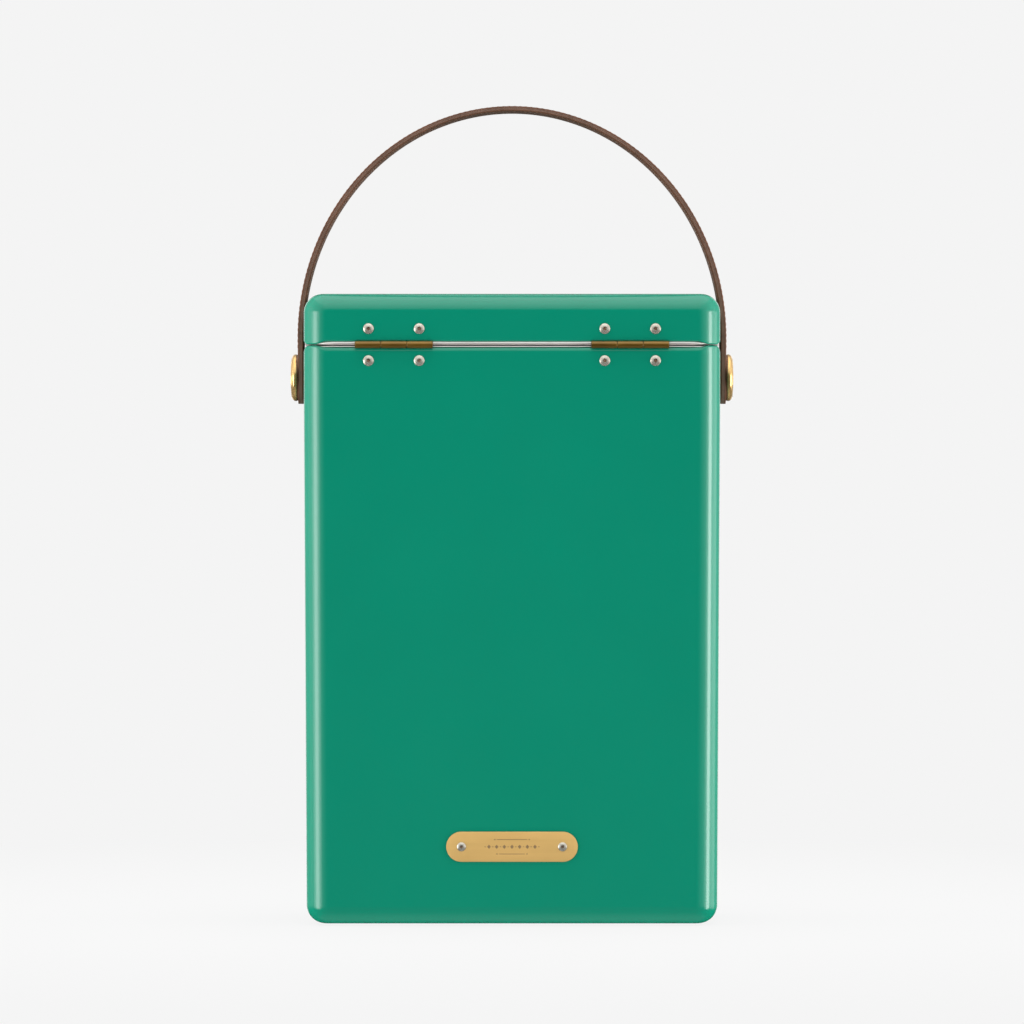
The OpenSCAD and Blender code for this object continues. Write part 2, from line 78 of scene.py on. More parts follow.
body_low, body_high = span("body_shell")
lid_low, lid_high = span("lid_shell")
HALF_W = body_high.x
HALF_D = (body_high.y - body_low.y) / 2
MID_Y = (body_high.y + body_low.y) / 2
BACK_Y = body_high.y
FRONT_Y = body_low.y
FOOT_Z = body_low.z
BODY_TOP = body_high.z
LID_BOTTOM = lid_low.z
LID_TOP = lid_high.z
LINER_T = 0.8  # thickness of the tub and the lid pan
RIM_TOP = span("body_liner")[1].z
TUB_FLOOR = span("body_liner")[0].z + LINER_T
PAN_LOW = span("lid_liner")[0].z
RIM_BOTTOM = PAN_LOW + 5
SEAM_Z = (RIM_TOP + RIM_BOTTOM) / 2

SHEET = 1.0  # casing thickness
RETURN_W = 7.0  # inward return of the casings
EDGE_R = 12.0  # top and bottom edges
SIDE_R = 15.0  # vertical edges
DRAFT = 1.8  # how much each side leans in towards the bottom
TAPER_TOP = 329.0  # where the lean starts
RIM_INSET = 0.5  # from the casing's face to the steel flanges
RIM_R = 20.0  # corner radius of the flanges
WALL = 14.0  # insulated wall
CAVITY_R = 14.0  # corner radius of the cavity
PLUG_INSET = 15.6  # from the casing's face to the lid's plug
LEAF_IN = 1.0  # from the back face to the near side of a hinge leaf
LEAF_BACK = 2.2  # and to its far side

# Radii of the holes for the rivets, the strap's posts and eyelets, and the turn knob
RIVET_HOLE = 1.62
SMALL_HOLE = 1.42
POST_HOLE = 3.02
EYELET_HOLE = 4.52
KNOB_HOLE = 2.35


# ---------- Mesh helpers ----------


def raw_mesh(name, verts, faces):
    mesh = bpy.data.meshes.new(name)
    mesh.from_pydata([tuple(c * MM for c in v) for v in verts], [], faces)
    return mesh


def fix_normals(mesh, weld=0.0):
    """Turns all faces outward, after welding points closer than `weld` metres."""
    bm = bmesh.new()
    bm.from_mesh(mesh)
    if weld:
        bmesh.ops.remove_doubles(bm, verts=bm.verts, dist=weld)
    bmesh.ops.recalc_face_normals(bm, faces=bm.faces)
    bm.to_mesh(mesh)
    bm.free()


def mesh_piece(name, verts, faces, materials, face_mats=None, sharp=35.0):
    """A smooth-shaded object from millimetre points, with edges over `sharp` degrees kept sharp."""
    mesh = raw_mesh(name, verts, faces)
    for m in materials:
        mesh.materials.append(m)
    if face_mats:
        mesh.polygons.foreach_set("material_index", face_mats)
    mesh.validate()
    fix_normals(mesh)
    piece = bpy.data.objects.new(name, mesh)
    bpy.context.scene.collection.objects.link(piece)
    shade(piece, sharp)
    return piece


def shade(piece, sharp=35.0, weighted=False):
    mesh = piece.data
    mesh.polygons.foreach_set("use_smooth", [True] * len(mesh.polygons))
    mesh.set_sharp_from_angle(angle=math.radians(sharp))
    if weighted:
        modifier = piece.modifiers.new("weighted", "WEIGHTED_NORMAL")
        modifier.keep_sharp = True
        modifier.weight = 60
    mesh.update()


def settle(piece, body, node_name):
    """The piece rides on the body and stands for that CAD node, which is hidden."""
    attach(piece, body)
    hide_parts(node_name)


class Build:
    """Collects points and faces of several shapes into one mesh."""

    def __init__(self):
        self.verts, self.faces, self.mats = [], [], []

    def add(self, verts, faces, mat=0):
        start = len(self.verts)
        self.verts += [tuple(v) for v in verts]
        self.faces += [tuple(start + i for i in f) for f in faces]
        self.mats += [mat] * len(faces) if isinstance(mat, int) else list(mat)

    def piece(self, name, materials, sharp=35.0):
        return mesh_piece(name, self.verts, self.faces, materials, self.mats, sharp)


def loft(rings, close=False):
    """Points and faces of a skin through rings that have the same number of points, capped unless it closes."""
    n = len(rings[0])
    verts = [p for ring in rings for p in ring]
    faces = []
    count = len(rings)
    for i in range(count if close else count - 1):
        a, b = i * n, (i + 1) % count * n
        for k in range(n):
            k2 = (k + 1) % n
            faces.append((a + k, a + k2, b + k2, b + k))
    if not close:
        faces.append(tuple(reversed(range(n))))
        faces.append(tuple((count - 1) * n + k for k in range(n)))
    return verts, faces


def lathe(profile, place, segments=48, closed=False):
    """Turns (radius, height) pairs about an axis. place(u, v, h) gives the point. A radius of 0 ends in a pole."""
    verts, rows, faces = [], [], []
    for r, h in profile:
        if r < 1e-9:
            rows.append([len(verts)])
            verts.append(place(0, 0, h))
        else:
            rows.append(list(range(len(verts), len(verts) + segments)))
            verts += [place(u, v, h) for u, v in circle(r, n=segments)]
    pairs = list(zip(rows, rows[1:])) + ([(rows[-1], rows[0])] if closed else [])
    for low, high in pairs:
        for k in range(segments):
            k2 = (k + 1) % segments
            if len(low) == 1:
                faces.append((low[0], high[k2], high[k]))
            elif len(high) == 1:
                faces.append((low[k], low[k2], high[0]))
            else:
                faces.append((low[k], low[k2], high[k2], high[k]))
    return verts, faces


def out_back(x, z, base=BACK_Y):
    """Places (u, v, h) on the back face at x, z, with h pointing outward."""
    return lambda u, v, h: (x + u, base + h, z + v)


def out_front(x, z, base=FRONT_Y):
    return lambda u, v, h: (x - u, base - h, z + v)


def out_side(side, y, z):
    return lambda u, v, h: (side * h, y + u, z + v)


def along_x(y, z):
    return lambda u, v, h: (h, y + u, z + v)


def steps(from_deg, to_deg, n):
    return [math.radians(from_deg + (to_deg - from_deg) * i / n) for i in range(n + 1)]


def arc(cu, cv, r, from_deg, to_deg, n):
    return [(cu + r * math.cos(a), cv + r * math.sin(a)) for a in steps(from_deg, to_deg, n)]


def circle(r, cu=0.0, cv=0.0, n=40):
    turns = [2 * math.pi * k / n for k in range(n)]
    return [(cu + r * math.cos(a), cv + r * math.sin(a)) for a in turns]


def stadium(w, h, n=24):
    """A slot shape w long and h high, its ends half circles."""
    r, reach = h / 2, w / 2 - h / 2
    return arc(reach, 0, r, -90, 90, n) + arc(-reach, 0, r, 90, 270, n)


def upright(w, h, n):
    """The same slot shape standing on end."""
    return [(v, u) for u, v in reversed(stadium(w, h, n))]


def rounded(w, h, r):
    points = []
    for sx, sy, a0 in ((1, -1, -90), (1, 1, 0), (-1, 1, 90), (-1, -1, 180)):
        points += arc(sx * (w / 2 - r), sy * (h / 2 - r), r, a0, a0 + 90, 6)
    return points


def inset(points, d):
    """The closed outline moved inward by d; its points run counter-clockwise."""
    n, moved = len(points), []
    for i in range(n):
        ax, ay = points[i - 1]
        bx, by = points[i]
        cx, cy = points[(i + 1) % n]
        e1, e2 = Vector((bx - ax, by - ay)), Vector((cx - bx, cy - by))
        if e1.length < 1e-9 or e2.length < 1e-9:
            e1 = e2 = e1 if e1.length > e2.length else e2
        e1.normalize()
        e2.normalize()
        n1, n2 = Vector((-e1.y, e1.x)), Vector((-e2.y, e2.x))
        m = (n1 + n2) / max(1 + n1.dot(n2), 0.3)
        moved.append((bx + m.x * d, by + m.y * d))
    return moved


def clean(points):
    """Drops neighbours that lie on each other."""
    kept = []
    for p in points:
        if not kept or math.dist(p, kept[-1]) > 1e-4:
            kept.append(p)
    if math.dist(kept[0], kept[-1]) < 1e-4:
        kept.pop()
    return kept


HOLE_EDGE = 0.12  # chamfer at the front of a hole
POCKET_DEPTH = 0.14


def plate(place, outer, thick, edge=0.25, holes=(), pockets=(), base=0.0, rows=3):
    """A flat plate with a rounded front edge, from base to base + thick. Holes go through, and pockets are sunk into
    its front, with material 1 on their floors."""
    bm = bmesh.new()
    top = base + thick
    layers = [(base, 0.0)]
    for i in range(rows + 1):
        a = math.pi / 2 * i / rows
        layers.append((top - edge + edge * math.sin(a), edge * (1 - math.cos(a))))

    def wall(outline, sign, depths):
        outline = clean(outline)
        loops = []
        for h, d in depths:
            ring = inset(outline, sign * d) if d else outline
            loops.append([bm.verts.new(place(u, v, h)) for u, v in ring])
        for low, high in zip(loops, loops[1:]):
            for k in range(len(low)):
                k2 = (k + 1) % len(low)
                bm.faces.new((low[k], low[k2], high[k2], high[k]))
        return loops[0], loops[-1]

    def fill(loops, material):
        edges = []
        for loop in loops:
            for k in range(len(loop)):
                pair = (loop[k], loop[(k + 1) % len(loop)])
                edges.append(bm.edges.get(pair) or bm.edges.new(pair))
        made = bmesh.ops.triangle_fill(bm, use_beauty=True, use_dissolve=False, edges=edges)
        for g in made["geom"]:
            if isinstance(g, bmesh.types.BMFace):
                g.material_index = material

    walls = [wall(outer, 1, layers)]
    for hole in holes:
        walls.append(wall(hole, -1, [(base, 0.0), (top - HOLE_EDGE, 0.0), (top, HOLE_EDGE)]))
    backs = [low for low, high in walls]
    fronts = [high for low, high in walls]
    for pocket in pockets:
        bottom, rim = wall(pocket, 1, [(top - POCKET_DEPTH, 0.0), (top, 0.0)])
        fronts.append(rim)
        fill([bottom], 1)
    fill(backs, 0)
    fill(fronts, 0)
    bmesh.ops.recalc_face_normals(bm, faces=bm.faces)
    bm.verts.index_update()
    verts = [tuple(v.co) for v in bm.verts]
    faces = [tuple(v.index for v in f.verts) for f in bm.faces]
    materials = [f.material_index for f in bm.faces]
    bm.free()
    return verts, faces, materials


def block(x0, x1, y0, y1, z0, z1, edge):
    """A box with small chamfers on all edges."""
    e = min(edge, (x1 - x0) / 3, (y1 - y0) / 3, (z1 - z0) / 3)
    rings = []
    for z, d in ((z0, e), (z0 + e, 0), (z1 - e, 0), (z1, e)):
        a0, a1, b0, b1 = x0 + d, x1 - d, y0 + d, y1 - d
        c = e * (0.0 if d else 1.0) + 1e-3
        rings.append([
            (a0 + c, b0, z), (a1 - c, b0, z), (a1, b0 + c, z), (a1, b1 - c, z),
            (a1 - c, b1, z), (a0 + c, b1, z), (a0, b1 - c, z), (a0, b0 + c, z),
        ])
    return loft(rings)


def carve(piece, shapes, sharp=35.0, weighted=False):
    """Subtracts closed shapes from the piece and keeps the result as its mesh."""
    joined = Build()
    for verts, faces in shapes:
        joined.add(verts, faces)
    mesh = raw_mesh("cutter", joined.verts, joined.faces)
    fix_normals(mesh)
    tool = bpy.data.objects.new("cutter", mesh)
    bpy.context.scene.collection.objects.link(tool)
    modifier = piece.modifiers.new("carve", "BOOLEAN")
    modifier.operation = "DIFFERENCE"
    modifier.solver = "EXACT"
    modifier.object = tool
    bpy.context.view_layer.update()
    seen = piece.evaluated_get(bpy.context.evaluated_depsgraph_get())
    result = bpy.data.meshes.new_from_object(seen)
    piece.modifiers.clear()
    piece.data = result
    bpy.data.objects.remove(tool)
    shade(piece, sharp, weighted)


def rod(x0, x1, y, z, r):
    return lathe([(0, x0), (r, x0), (r, x1), (0, x1)], along_x(y, z), 32)


def plug_y(x, z, y0, y1, r):
    return lathe([(0, y0), (r, y0), (r, y1), (0, y1)], lambda u, v, h: (x + u, h, z + v), 32)


def box_solid(x0, x1, y0, y1, z0, z1):
    verts = [(x, y, z) for z in (z0, z1) for y in (y0, y1) for x in (x0, x1)]
    faces = [(0, 1, 3, 2), (4, 6, 7, 5), (0, 4, 5, 1), (2, 3, 7, 6), (0, 2, 6, 4), (1, 5, 7, 3)]
    return verts, faces


# ---------- Materials ----------


def empty_material(name):
    material = bpy.data.materials.new(name)
    material.use_nodes = True
    material.node_tree.nodes.clear()
    return material, material.node_tree


def new_material(name):
    material, tree = empty_material(name)
    output = tree.nodes.new("ShaderNodeOutputMaterial")
    shader = tree.nodes.new("ShaderNodeBsdfPrincipled")
    tree.links.new(shader.outputs["BSDF"], output.inputs["Surface"])
    return material, tree, shader


def node(tree, kind, inputs=None, **settings):
    """A new node. An input that is a socket is linked, and any other is its value."""
    made = tree.nodes.new(kind)
    for key, value in settings.items():
        setattr(made, key, value)
    for key, value in (inputs or {}).items():
        if isinstance(value, bpy.types.NodeSocket):
            tree.links.new(value, made.inputs[key])
        else:
            made.inputs[key].default_value = value
    return made


def place_of(tree, scale=(1, 1, 1)):
    """The point on the piece in metres, times scale."""
    where = node(tree, "ShaderNodeTexCoord").outputs["Object"]
    return node(tree, "ShaderNodeMapping", {"Vector": where, "Scale": scale}).outputs["Vector"]


def noise(tree, vector, scale, detail=3.0, rough=0.5):
    inputs = {"Vector": vector, "Scale": scale, "Detail": detail, "Roughness": rough}
    return node(tree, "ShaderNodeTexNoise", inputs).outputs["Fac"]


def ramp(tree, fac, stops):
    made = node(tree, "ShaderNodeValToRGB", {"Fac": fac})
    band = made.color_ramp
    band.elements[0].position = stops[0][0]
    band.elements[1].position = stops[-1][0]
    for at, _ in stops[1:-1]:
        band.elements.new(at)
    for element, (_, colour) in zip(band.elements, stops):
        element.color = (*colour, 1.0)
    return made.outputs["Color"]


def grey_ramp(tree, fac, stops):
    return ramp(tree, fac, [(at, (v, v, v)) for at, v in stops])


def spread(tree, fac, low, high, from_low=0.0, from_high=1.0):
    inputs = {"Value": fac, "From Min": from_low, "From Max": from_high, "To Min": low, "To Max": high}
    return node(tree, "ShaderNodeMapRange", inputs).outputs["Result"]


def average(tree, first, second):
    total = node(tree, "ShaderNodeMath", {0: first, 1: second}, operation="ADD").outputs["Value"]
    return node(tree, "ShaderNodeMath", {0: total, 1: 0.5}, operation="MULTIPLY").outputs["Value"]


def bump(tree, height, strength, distance, normal=None):
    inputs = {"Height": height, "Strength": strength, "Distance": distance}
    if normal is not None:
        inputs["Normal"] = normal
    return node(tree, "ShaderNodeBump", inputs).outputs["Normal"]


def connect(tree, shader, colour, rough, normal):
    for key, socket in (("Base Color", colour), ("Roughness", rough), ("Normal", normal)):
        tree.links.new(socket, shader.inputs[key])


def metal(name, dark, light, rough, streak, streak_scale, strength, metallic=1.0, lacquer=0.0):
    """A metal whose colour and roughness vary along its brushing. streak stretches the noise."""
    material, tree, shader = new_material(name)
    lines = noise(tree, place_of(tree, streak), streak_scale, 4.0, 0.6)
    cloud = noise(tree, place_of(tree), 60.0, 3.0)
    colour = ramp(tree, average(tree, lines, cloud), [(0.36, dark), (0.64, light)])
    shader.inputs["Metallic"].default_value = metallic
    shader.inputs["Coat Weight"].default_value = lacquer
    shader.inputs["Coat Roughness"].default_value = 0.12
    connect(tree, shader, colour, spread(tree, lines, *rough, 0.3, 0.7), bump(tree, lines, strength, 0.00005))
    return material


def make_enamel():
    """Glossy paint with a faint orange peel."""
    material, tree, shader = new_material("jade_enamel")
    cloud = noise(tree, place_of(tree), 14.0, 3.0)
    colour = ramp(tree, cloud, [(0.3, (0.0, 0.140, 0.085)), (0.7, (0.0, 0.145, 0.088))])
    rough = spread(tree, noise(tree, place_of(tree), 40.0), 0.16, 0.19)
    peel = noise(tree, place_of(tree), 420.0, 2.0)
    connect(tree, shader, colour, rough, bump(tree, peel, 0.03, 0.0001))
    return material


def make_leather(name, dark, light, rough, grain):
    """Waxed strap leather: pores, fine creases and a mottled dye."""
    material, tree, shader = new_material(name)
    spot = place_of(tree)
    mottle = noise(tree, spot, 55.0, 5.0, 0.6)
    fibre = noise(tree, place_of(tree, (1, 3, 1)), 420.0, 4.0, 0.65)
    colour = ramp(tree, average(tree, mottle, fibre), [(0.34, dark), (0.66, light)])
    pores = node(tree, "ShaderNodeTexVoronoi", {"Vector": spot, "Scale": 900.0}, feature="DISTANCE_TO_EDGE")
    shader.inputs["Specular IOR Level"].default_value = 0.35
    normal = bump(tree, pores.outputs["Distance"], grain, 0.0003)
    normal = bump(tree, fibre, grain * 0.6, 0.0002, normal)
    connect(tree, shader, colour, spread(tree, fibre, *rough, 0.3, 0.7), normal)
    return material


def make_rubber(name, colour, rough=0.62):
    material, tree, shader = new_material(name)
    grain = noise(tree, place_of(tree), 1500.0, 2.0)
    cloud = noise(tree, place_of(tree), 90.0, 3.0)
    mottled = ramp(tree, cloud, [(0.3, colour), (0.7, tuple(c * 1.35 for c in colour))])
    connect(tree, shader, mottled, spread(tree, cloud, rough - 0.06, rough + 0.06), bump(tree, grain, 0.15, 0.0001))
    return material


def make_foam():
    material, tree, shader = new_material("rigid_foam")
    cells = node(tree, "ShaderNodeTexVoronoi", {"Vector": place_of(tree), "Scale": 700.0}).outputs["Distance"]
    colour = ramp(tree, cells, [(0.1, (0.72, 0.60, 0.34)), (0.6, (0.85, 0.76, 0.50))])
    tree.links.new(colour, shader.inputs["Base Color"])
    shader.inputs["Roughness"].default_value = 0.85
    tree.links.new(bump(tree, cells, 0.5, 0.0004), shader.inputs["Normal"])
    return material


EVEN = (1, 1, 1)
ENAMEL = make_enamel()
# The tub and pan's stainless comes in two colours. The lighter copy on the flanges' visible outer edges is a painted
# highlight. The darker copy on the rest is painted shade that keeps the strong overhead light from burning it out.
LIT_RIM_STEEL = metal("satin_rim_lit_copy", (0.80, 0.77, 0.74), (0.90, 0.87, 0.84), (0.55, 0.65), (1, 1, 60), 12.0, 0.1)
SHADED_STEEL = metal("brushed_stainless_shaded_copy", (0.36, 0.355, 0.35), (0.42, 0.415, 0.41), (0.30, 0.36), (1, 40, 40), 30.0, 0.05)
ZINC = metal("zinc_plate", (0.46, 0.48, 0.50), (0.60, 0.62, 0.64), (0.35, 0.5), EVEN, 250.0, 0.2)
PLATE_BRASS = metal(
    "satin_brass", (0.57, 0.367, 0.125), (0.61, 0.395, 0.138), (0.54, 0.60), (1, 50, 50), 16.0, 0.08, 0.6
)
STUD_BRASS = metal("polished_brass", (0.62, 0.40, 0.15), (0.72, 0.48, 0.20), (0.15, 0.21), (8, 8, 8), 30.0, 0.04, 0.82)
# Dark brass for the studs' collars: painted shade for the dark their sides reflect.
STUD_COLLAR_SHADE = metal("stud_collar_painted_shade", (0.11, 0.055, 0.027), (0.17, 0.09, 0.045), (0.14, 0.20), EVEN, 120.0, 0.04, 0.5)
# The hinges' brass is kept far darker than the other brass: partly patina, partly painted shade for the dark its
# knuckles reflect in the seam.
HINGE_BRASS = metal(
    "patina_and_shade_brass", (0.13, 0.066, 0.005), (0.18, 0.095, 0.008), (0.34, 0.42), (1, 2, 2), 60.0, 0.03, 0.75, lacquer=0.5
)
ENGRAVED = metal("engraved_brass", (0.26, 0.17, 0.085), (0.30, 0.20, 0.10), (0.5, 0.6), EVEN, 300.0, 0.1, 0.6)
RIVET = metal("bright_aluminium", (0.45, 0.42, 0.35), (0.53, 0.50, 0.43), (0.18, 0.24), (6, 6, 6), 90.0, 0.04, 0.75)
MANDREL = metal("broken_mandrel", (0.20, 0.12, 0.075), (0.34, 0.22, 0.15), (0.45, 0.65), EVEN, 900.0, 0.5)
LEATHER = make_leather("strap_leather", (0.050, 0.016, 0.005), (0.080, 0.027, 0.010), (0.55, 0.68), 0.25)
LINING = make_leather("strap_lining_leather", (0.054, 0.019, 0.007), (0.088, 0.034, 0.015), (0.62, 0.76), 0.2)
# Lighter, greyer brown for the flat middle of the strap's edge: partly edge dressing, partly a painted highlight where
# that flat catches the light.
EDGE_DRESSING_AND_HIGHLIGHT = make_leather("edge_dressing_and_highlight", (0.072, 0.038, 0.024), (0.118, 0.064, 0.043), (0.62, 0.74), 0.1)
THREAD = make_leather("waxed_thread", (0.11, 0.06, 0.035), (0.20, 0.12, 0.075), (0.55, 0.7), 0.1)
BLACK = make_rubber("black_rubber", (0.016, 0.016, 0.016))
GASKET = make_rubber("gasket_rubber", (0.030, 0.026, 0.024), 0.7)
FOAM = make_foam()


# ---------- Casings ----------


CORNER = 24  # segments round each vertical corner
PINCH_FROM, PINCH_TO = 14.0, 45.0  # degrees from a corner's middle where the lips open


def openness(degrees):
    """1 along the straights, 0 where the casings' lips close over the steel at each corner's middle."""
    t = (abs(degrees - 45.0) - PINCH_FROM) / (PINCH_TO - PINCH_FROM)
    t = max(0.0, min(1.0, t))
    return t * t * (3 - 2 * t)


def corner_frames(half_w, half_d, r):
    """(centre x, centre y, normal x, normal y, openness) around a rounded rectangle, counter-clockwise."""
    out = []
    for sx, sy, a0 in ((1, 1, 0), (-1, 1, 90), (-1, -1, 180), (1, -1, 270)):
        for k in range(CORNER + 1):
            d = 90.0 * k / CORNER
            a = math.radians(a0 + d)
            out.append((sx * (half_w - r), sy * (half_d - r), math.cos(a), math.sin(a), openness(d)))
    return out


CASING = corner_frames(HALF_W, HALF_D, SIDE_R)


def lean(z):
    if z >= TAPER_TOP:
        return 0.0
    low = FOOT_Z + EDGE_R
    return DRAFT * min(1.0, (TAPER_TOP - z) / (TAPER_TOP - low))


def casing_ring(straight, corner=None, tapered=False):
    """Ring of the casing at (inset, z) along the straights and another (inset, z) at the corners' middles."""
    corner = corner or straight
    points = []
    for cx, cy, nx, ny, f in CASING:
        i = corner[0] + (straight[0] - corner[0]) * f
        z = corner[1] + (straight[1] - corner[1]) * f
        x = cx + (SIDE_R - i) * nx
        if tapered:
            x -= math.copysign(lean(z), cx)
        points.append((x, MID_Y + cy + (SIDE_R - i) * ny, z))
    return points


def rect_ring(inset_by, r, z):
    points = []
    for cx, cy, nx, ny, _ in corner_frames(HALF_W - inset_by, HALF_D - inset_by, r):
        points.append((cx + r * nx, MID_Y + cy + r * ny, z))
    return points


ROLL = 1.8  # how far the body's top edge rolls in, and over what height
ROLL_RISE = 3.4
LIP = 1.35  # radius of the body's lip at the corners, where it rises to meet the lid's
LIP_TOP = SEAM_Z - 0.3
LID_LIP = SEAM_Z + 0.3
LIP_ROWS = 5
LIP_BACK = 1.25  # how far the lip runs in while it drops back to the body's top
ARC = 16
WALL_ROWS = (80.0, 160.0, 240.0)


def edge_rows(radius, z, up):
    """(inset, z) from the flat to the side round a top (up = 1) or bottom (up = -1) edge with its centre at z."""
    return [(EDGE_R - radius * math.cos(a), z + up * radius * math.sin(a)) for a in steps(90, 0, ARC)]


def rivet_holes(node_name, face_y, r):
    return [plug_y(x, z, face_y - 3, face_y + 3, r) for x, z in rivet_spots(node_name)]


def painted(name, rings, cuts, body, node_name):
    verts, faces = loft(rings)
    piece = mesh_piece(name, verts, faces, [ENAMEL])
    carve(piece, cuts, weighted=True)
    settle(piece, body, node_name)


def body_casing():
    base = FOOT_Z + EDGE_R
    rings = [casing_ring(row, tapered=True) for row in edge_rows(EDGE_R, base, -1)]
    heights = (*WALL_ROWS, TAPER_TOP - 10, TAPER_TOP, TAPER_TOP + 10)
    rings += [casing_ring((0.0, z), tapered=True) for z in heights]
    for i, a in enumerate(steps(0, 90, 8)):
        straight = (ROLL - ROLL * math.cos(a), BODY_TOP - ROLL_RISE + ROLL_RISE * math.sin(a))
        if i <= LIP_ROWS:
            b = math.radians(90.0 * i / LIP_ROWS)
            corner = (LIP - LIP * math.cos(b), LIP_TOP - LIP + LIP * math.sin(b))
        else:
            b = math.radians(90.0 * (i - LIP_ROWS) / (8 - LIP_ROWS))
            corner = (LIP + LIP_BACK * math.sin(b), LIP_TOP - (LIP_TOP - BODY_TOP) * (1 - math.cos(b)))
        rings.append(casing_ring(straight, corner))
    rows = [(3.4, BODY_TOP), (RETURN_W, BODY_TOP), (RETURN_W, BODY_TOP - SHEET)]
    for a in steps(90, 0, 6):
        z = BODY_TOP - ROLL_RISE + (ROLL_RISE - SHEET) * math.sin(a)
        rows.append((ROLL - (ROLL - SHEET) * math.cos(a), z))
    rings += [casing_ring(row) for row in rows]
    rings += [casing_ring((SHEET, z), tapered=True) for z in (TAPER_TOP, *reversed(WALL_ROWS))]
    rings += [casing_ring(row, tapered=True) for row in reversed(edge_rows(EDGE_R - SHEET, base, -1))]
    cuts = rivet_holes("body_hinge_rivets", BACK_Y, RIVET_HOLE)
    cuts += rivet_holes("nameplate_rivets", BACK_Y, SMALL_HOLE)
    cuts += rivet_holes("hasp_base_rivets", FRONT_Y, SMALL_HOLE)
    post = middle("strap_post_left")
    cuts += [rod(x - 5, x + 5, post.y, post.z, POST_HOLE) for x in (-HALF_W, HALF_W)]
    cuts += hinge_cuts(BODY_TOP - ROLL_RISE, BODY_TOP + 2, BACK_Y - LEAF_IN)
    painted("casing_body", rings, cuts, "box", "body_shell")


def lid_casing():
    base = LID_TOP - EDGE_R
    rings = [casing_ring(row) for row in edge_rows(EDGE_R, base, 1)]
    for a in steps(0, 90, 5):
        i, rise = 1 - math.cos(a), 1 - math.sin(a)
        rings.append(casing_ring((i, LID_BOTTOM + rise), (i, LID_LIP + rise)))
    rings.append(casing_ring((1.6, LID_BOTTOM), (2.1, LID_LIP + 0.25)))
    rows = [(2.7, LID_BOTTOM), (RETURN_W, LID_BOTTOM), (RETURN_W, LID_BOTTOM + SHEET)]
    rows += [(1.5, LID_BOTTOM + SHEET), (SHEET, LID_BOTTOM + SHEET + 0.5)]
    rows += reversed(edge_rows(EDGE_R - SHEET, base, 1))
    rings += [casing_ring(row) for row in rows]
    cuts = rivet_holes("lid_hinge_rivets", BACK_Y, RIVET_HOLE)
    cuts += rivet_holes("turn_plate_rivets", FRONT_Y, SMALL_HOLE)
    knob = middle("turn_knob")
    cuts.append(plug_y(knob.x, knob.z, FRONT_Y - 3, FRONT_Y + 3, KNOB_HOLE))
    cuts += hinge_cuts(LID_BOTTOM - 2, LID_BOTTOM + 2, BACK_Y - LEAF_IN)
    painted("casing_lid", rings, cuts, "lid", "lid_shell")


def rivet_spots(name):
    """(x, z) of each rivet in a CAD node, from the separate solids of its mesh."""
    bm = bmesh.new()
    bm.from_mesh(nodes[name].data)
    bmesh.ops.remove_doubles(bm, verts=bm.verts, dist=1e-6)
    seen, spots = set(), set()
    for vert in bm.verts:
        if vert in seen:
            continue
        island, queue = {vert}, [vert]
        while queue:
            for edge in queue.pop().link_edges:
                fresh = [v for v in edge.verts if v not in island]
                island.update(fresh)
                queue += fresh
        seen |= island
        xs = [v.co.x for v in island]
        zs = [v.co.z for v in island]
        spots.add((round((min(xs) + max(xs)) / 2 / MM, 3), round((min(zs) + max(zs)) / 2 / MM, 3)))
    bm.free()
    return sorted(spots)


def hinge_cuts(z0, z1, y1):
    """Room for both hinges' leaves between z0 and z1, open as far as y1."""
    cuts = []
    for side in ("left", "right"):
        low, high = span(f"hinge_body_leaf_{side}")
        cuts.append(box_solid(low.x - 0.2, high.x + 0.2, BACK_Y - LEAF_BACK - 0.2, y1, z0, z1))
    return cuts


# ---------- Steel tub and lid pan ----------


RIM_DROP = 0.48  # how far both flanges turn down at their outer edge, and over what width
RIM_TURN = 0.8
TUB_TURN = 7.0  # inner radius of the tub's floor edge
PAN_BEND = 1.6
STAMP = 1.2  # how far the lid pan's panel is stamped out
GROOVE = (5.0, 9.0)  # the gasket's groove, from the casing's face
BULB = (1.55, 0.12)  # the gasket bulb's half-width, and its gap to the tub's flange
PAN_EDGE = (LID_BOTTOM - RIM_BOTTOM + RIM_DROP) / 2  # half the thickness of the pan's outer edge


def lit_rim_marks(verts, faces):
    """Material 1, the lighter copy of the steel that is a painted highlight, for the faces of a flange's outer edge, 0
    for the rest.
    """
    marks = []
    for f in faces:
        points = [verts[i] for i in f]
        x = sum(abs(p[0]) for p in points) / len(f)
        y = sum(abs(p[1] - MID_Y) for p in points) / len(f)
        at_edge = x > HALF_W - RIM_INSET - 1.0 or y > HALF_D - RIM_INSET - 1.0
        if x > HALF_W - RIM_R and y > HALF_D - RIM_R:
            far = math.hypot(x - (HALF_W - RIM_INSET - RIM_R), y - (HALF_D - RIM_INSET - RIM_R))
            at_edge = far > RIM_R - 1.0
        marks.append(1 if at_edge else 0)
    return marks


def pressing(name, rows, z0, z1, body, node_name):
    """A steel pressing through (inset, corner radius, z) rows, notched for the hinges between z0 and z1."""
    verts, faces = loft([rect_ring(*row) for row in rows])
    # The flange edges take the lighter steel, a painted highlight; the rest takes the darker steel, painted shade.
    piece = mesh_piece(name, verts, faces, [SHADED_STEEL, LIT_RIM_STEEL], lit_rim_marks(verts, faces))
    carve(piece, hinge_cuts(z0, z1, BACK_Y + 5), weighted=True)
    settle(piece, body, node_name)


def flange_row(d, z):
    return (RIM_INSET + d, RIM_R - d, z)


def flange_edge(z, half, angles):
    """Rows round the outer edge of a flange, a half circle about z."""
    return [flange_row(half - half * math.cos(a), z + half * math.sin(a)) for a in angles]


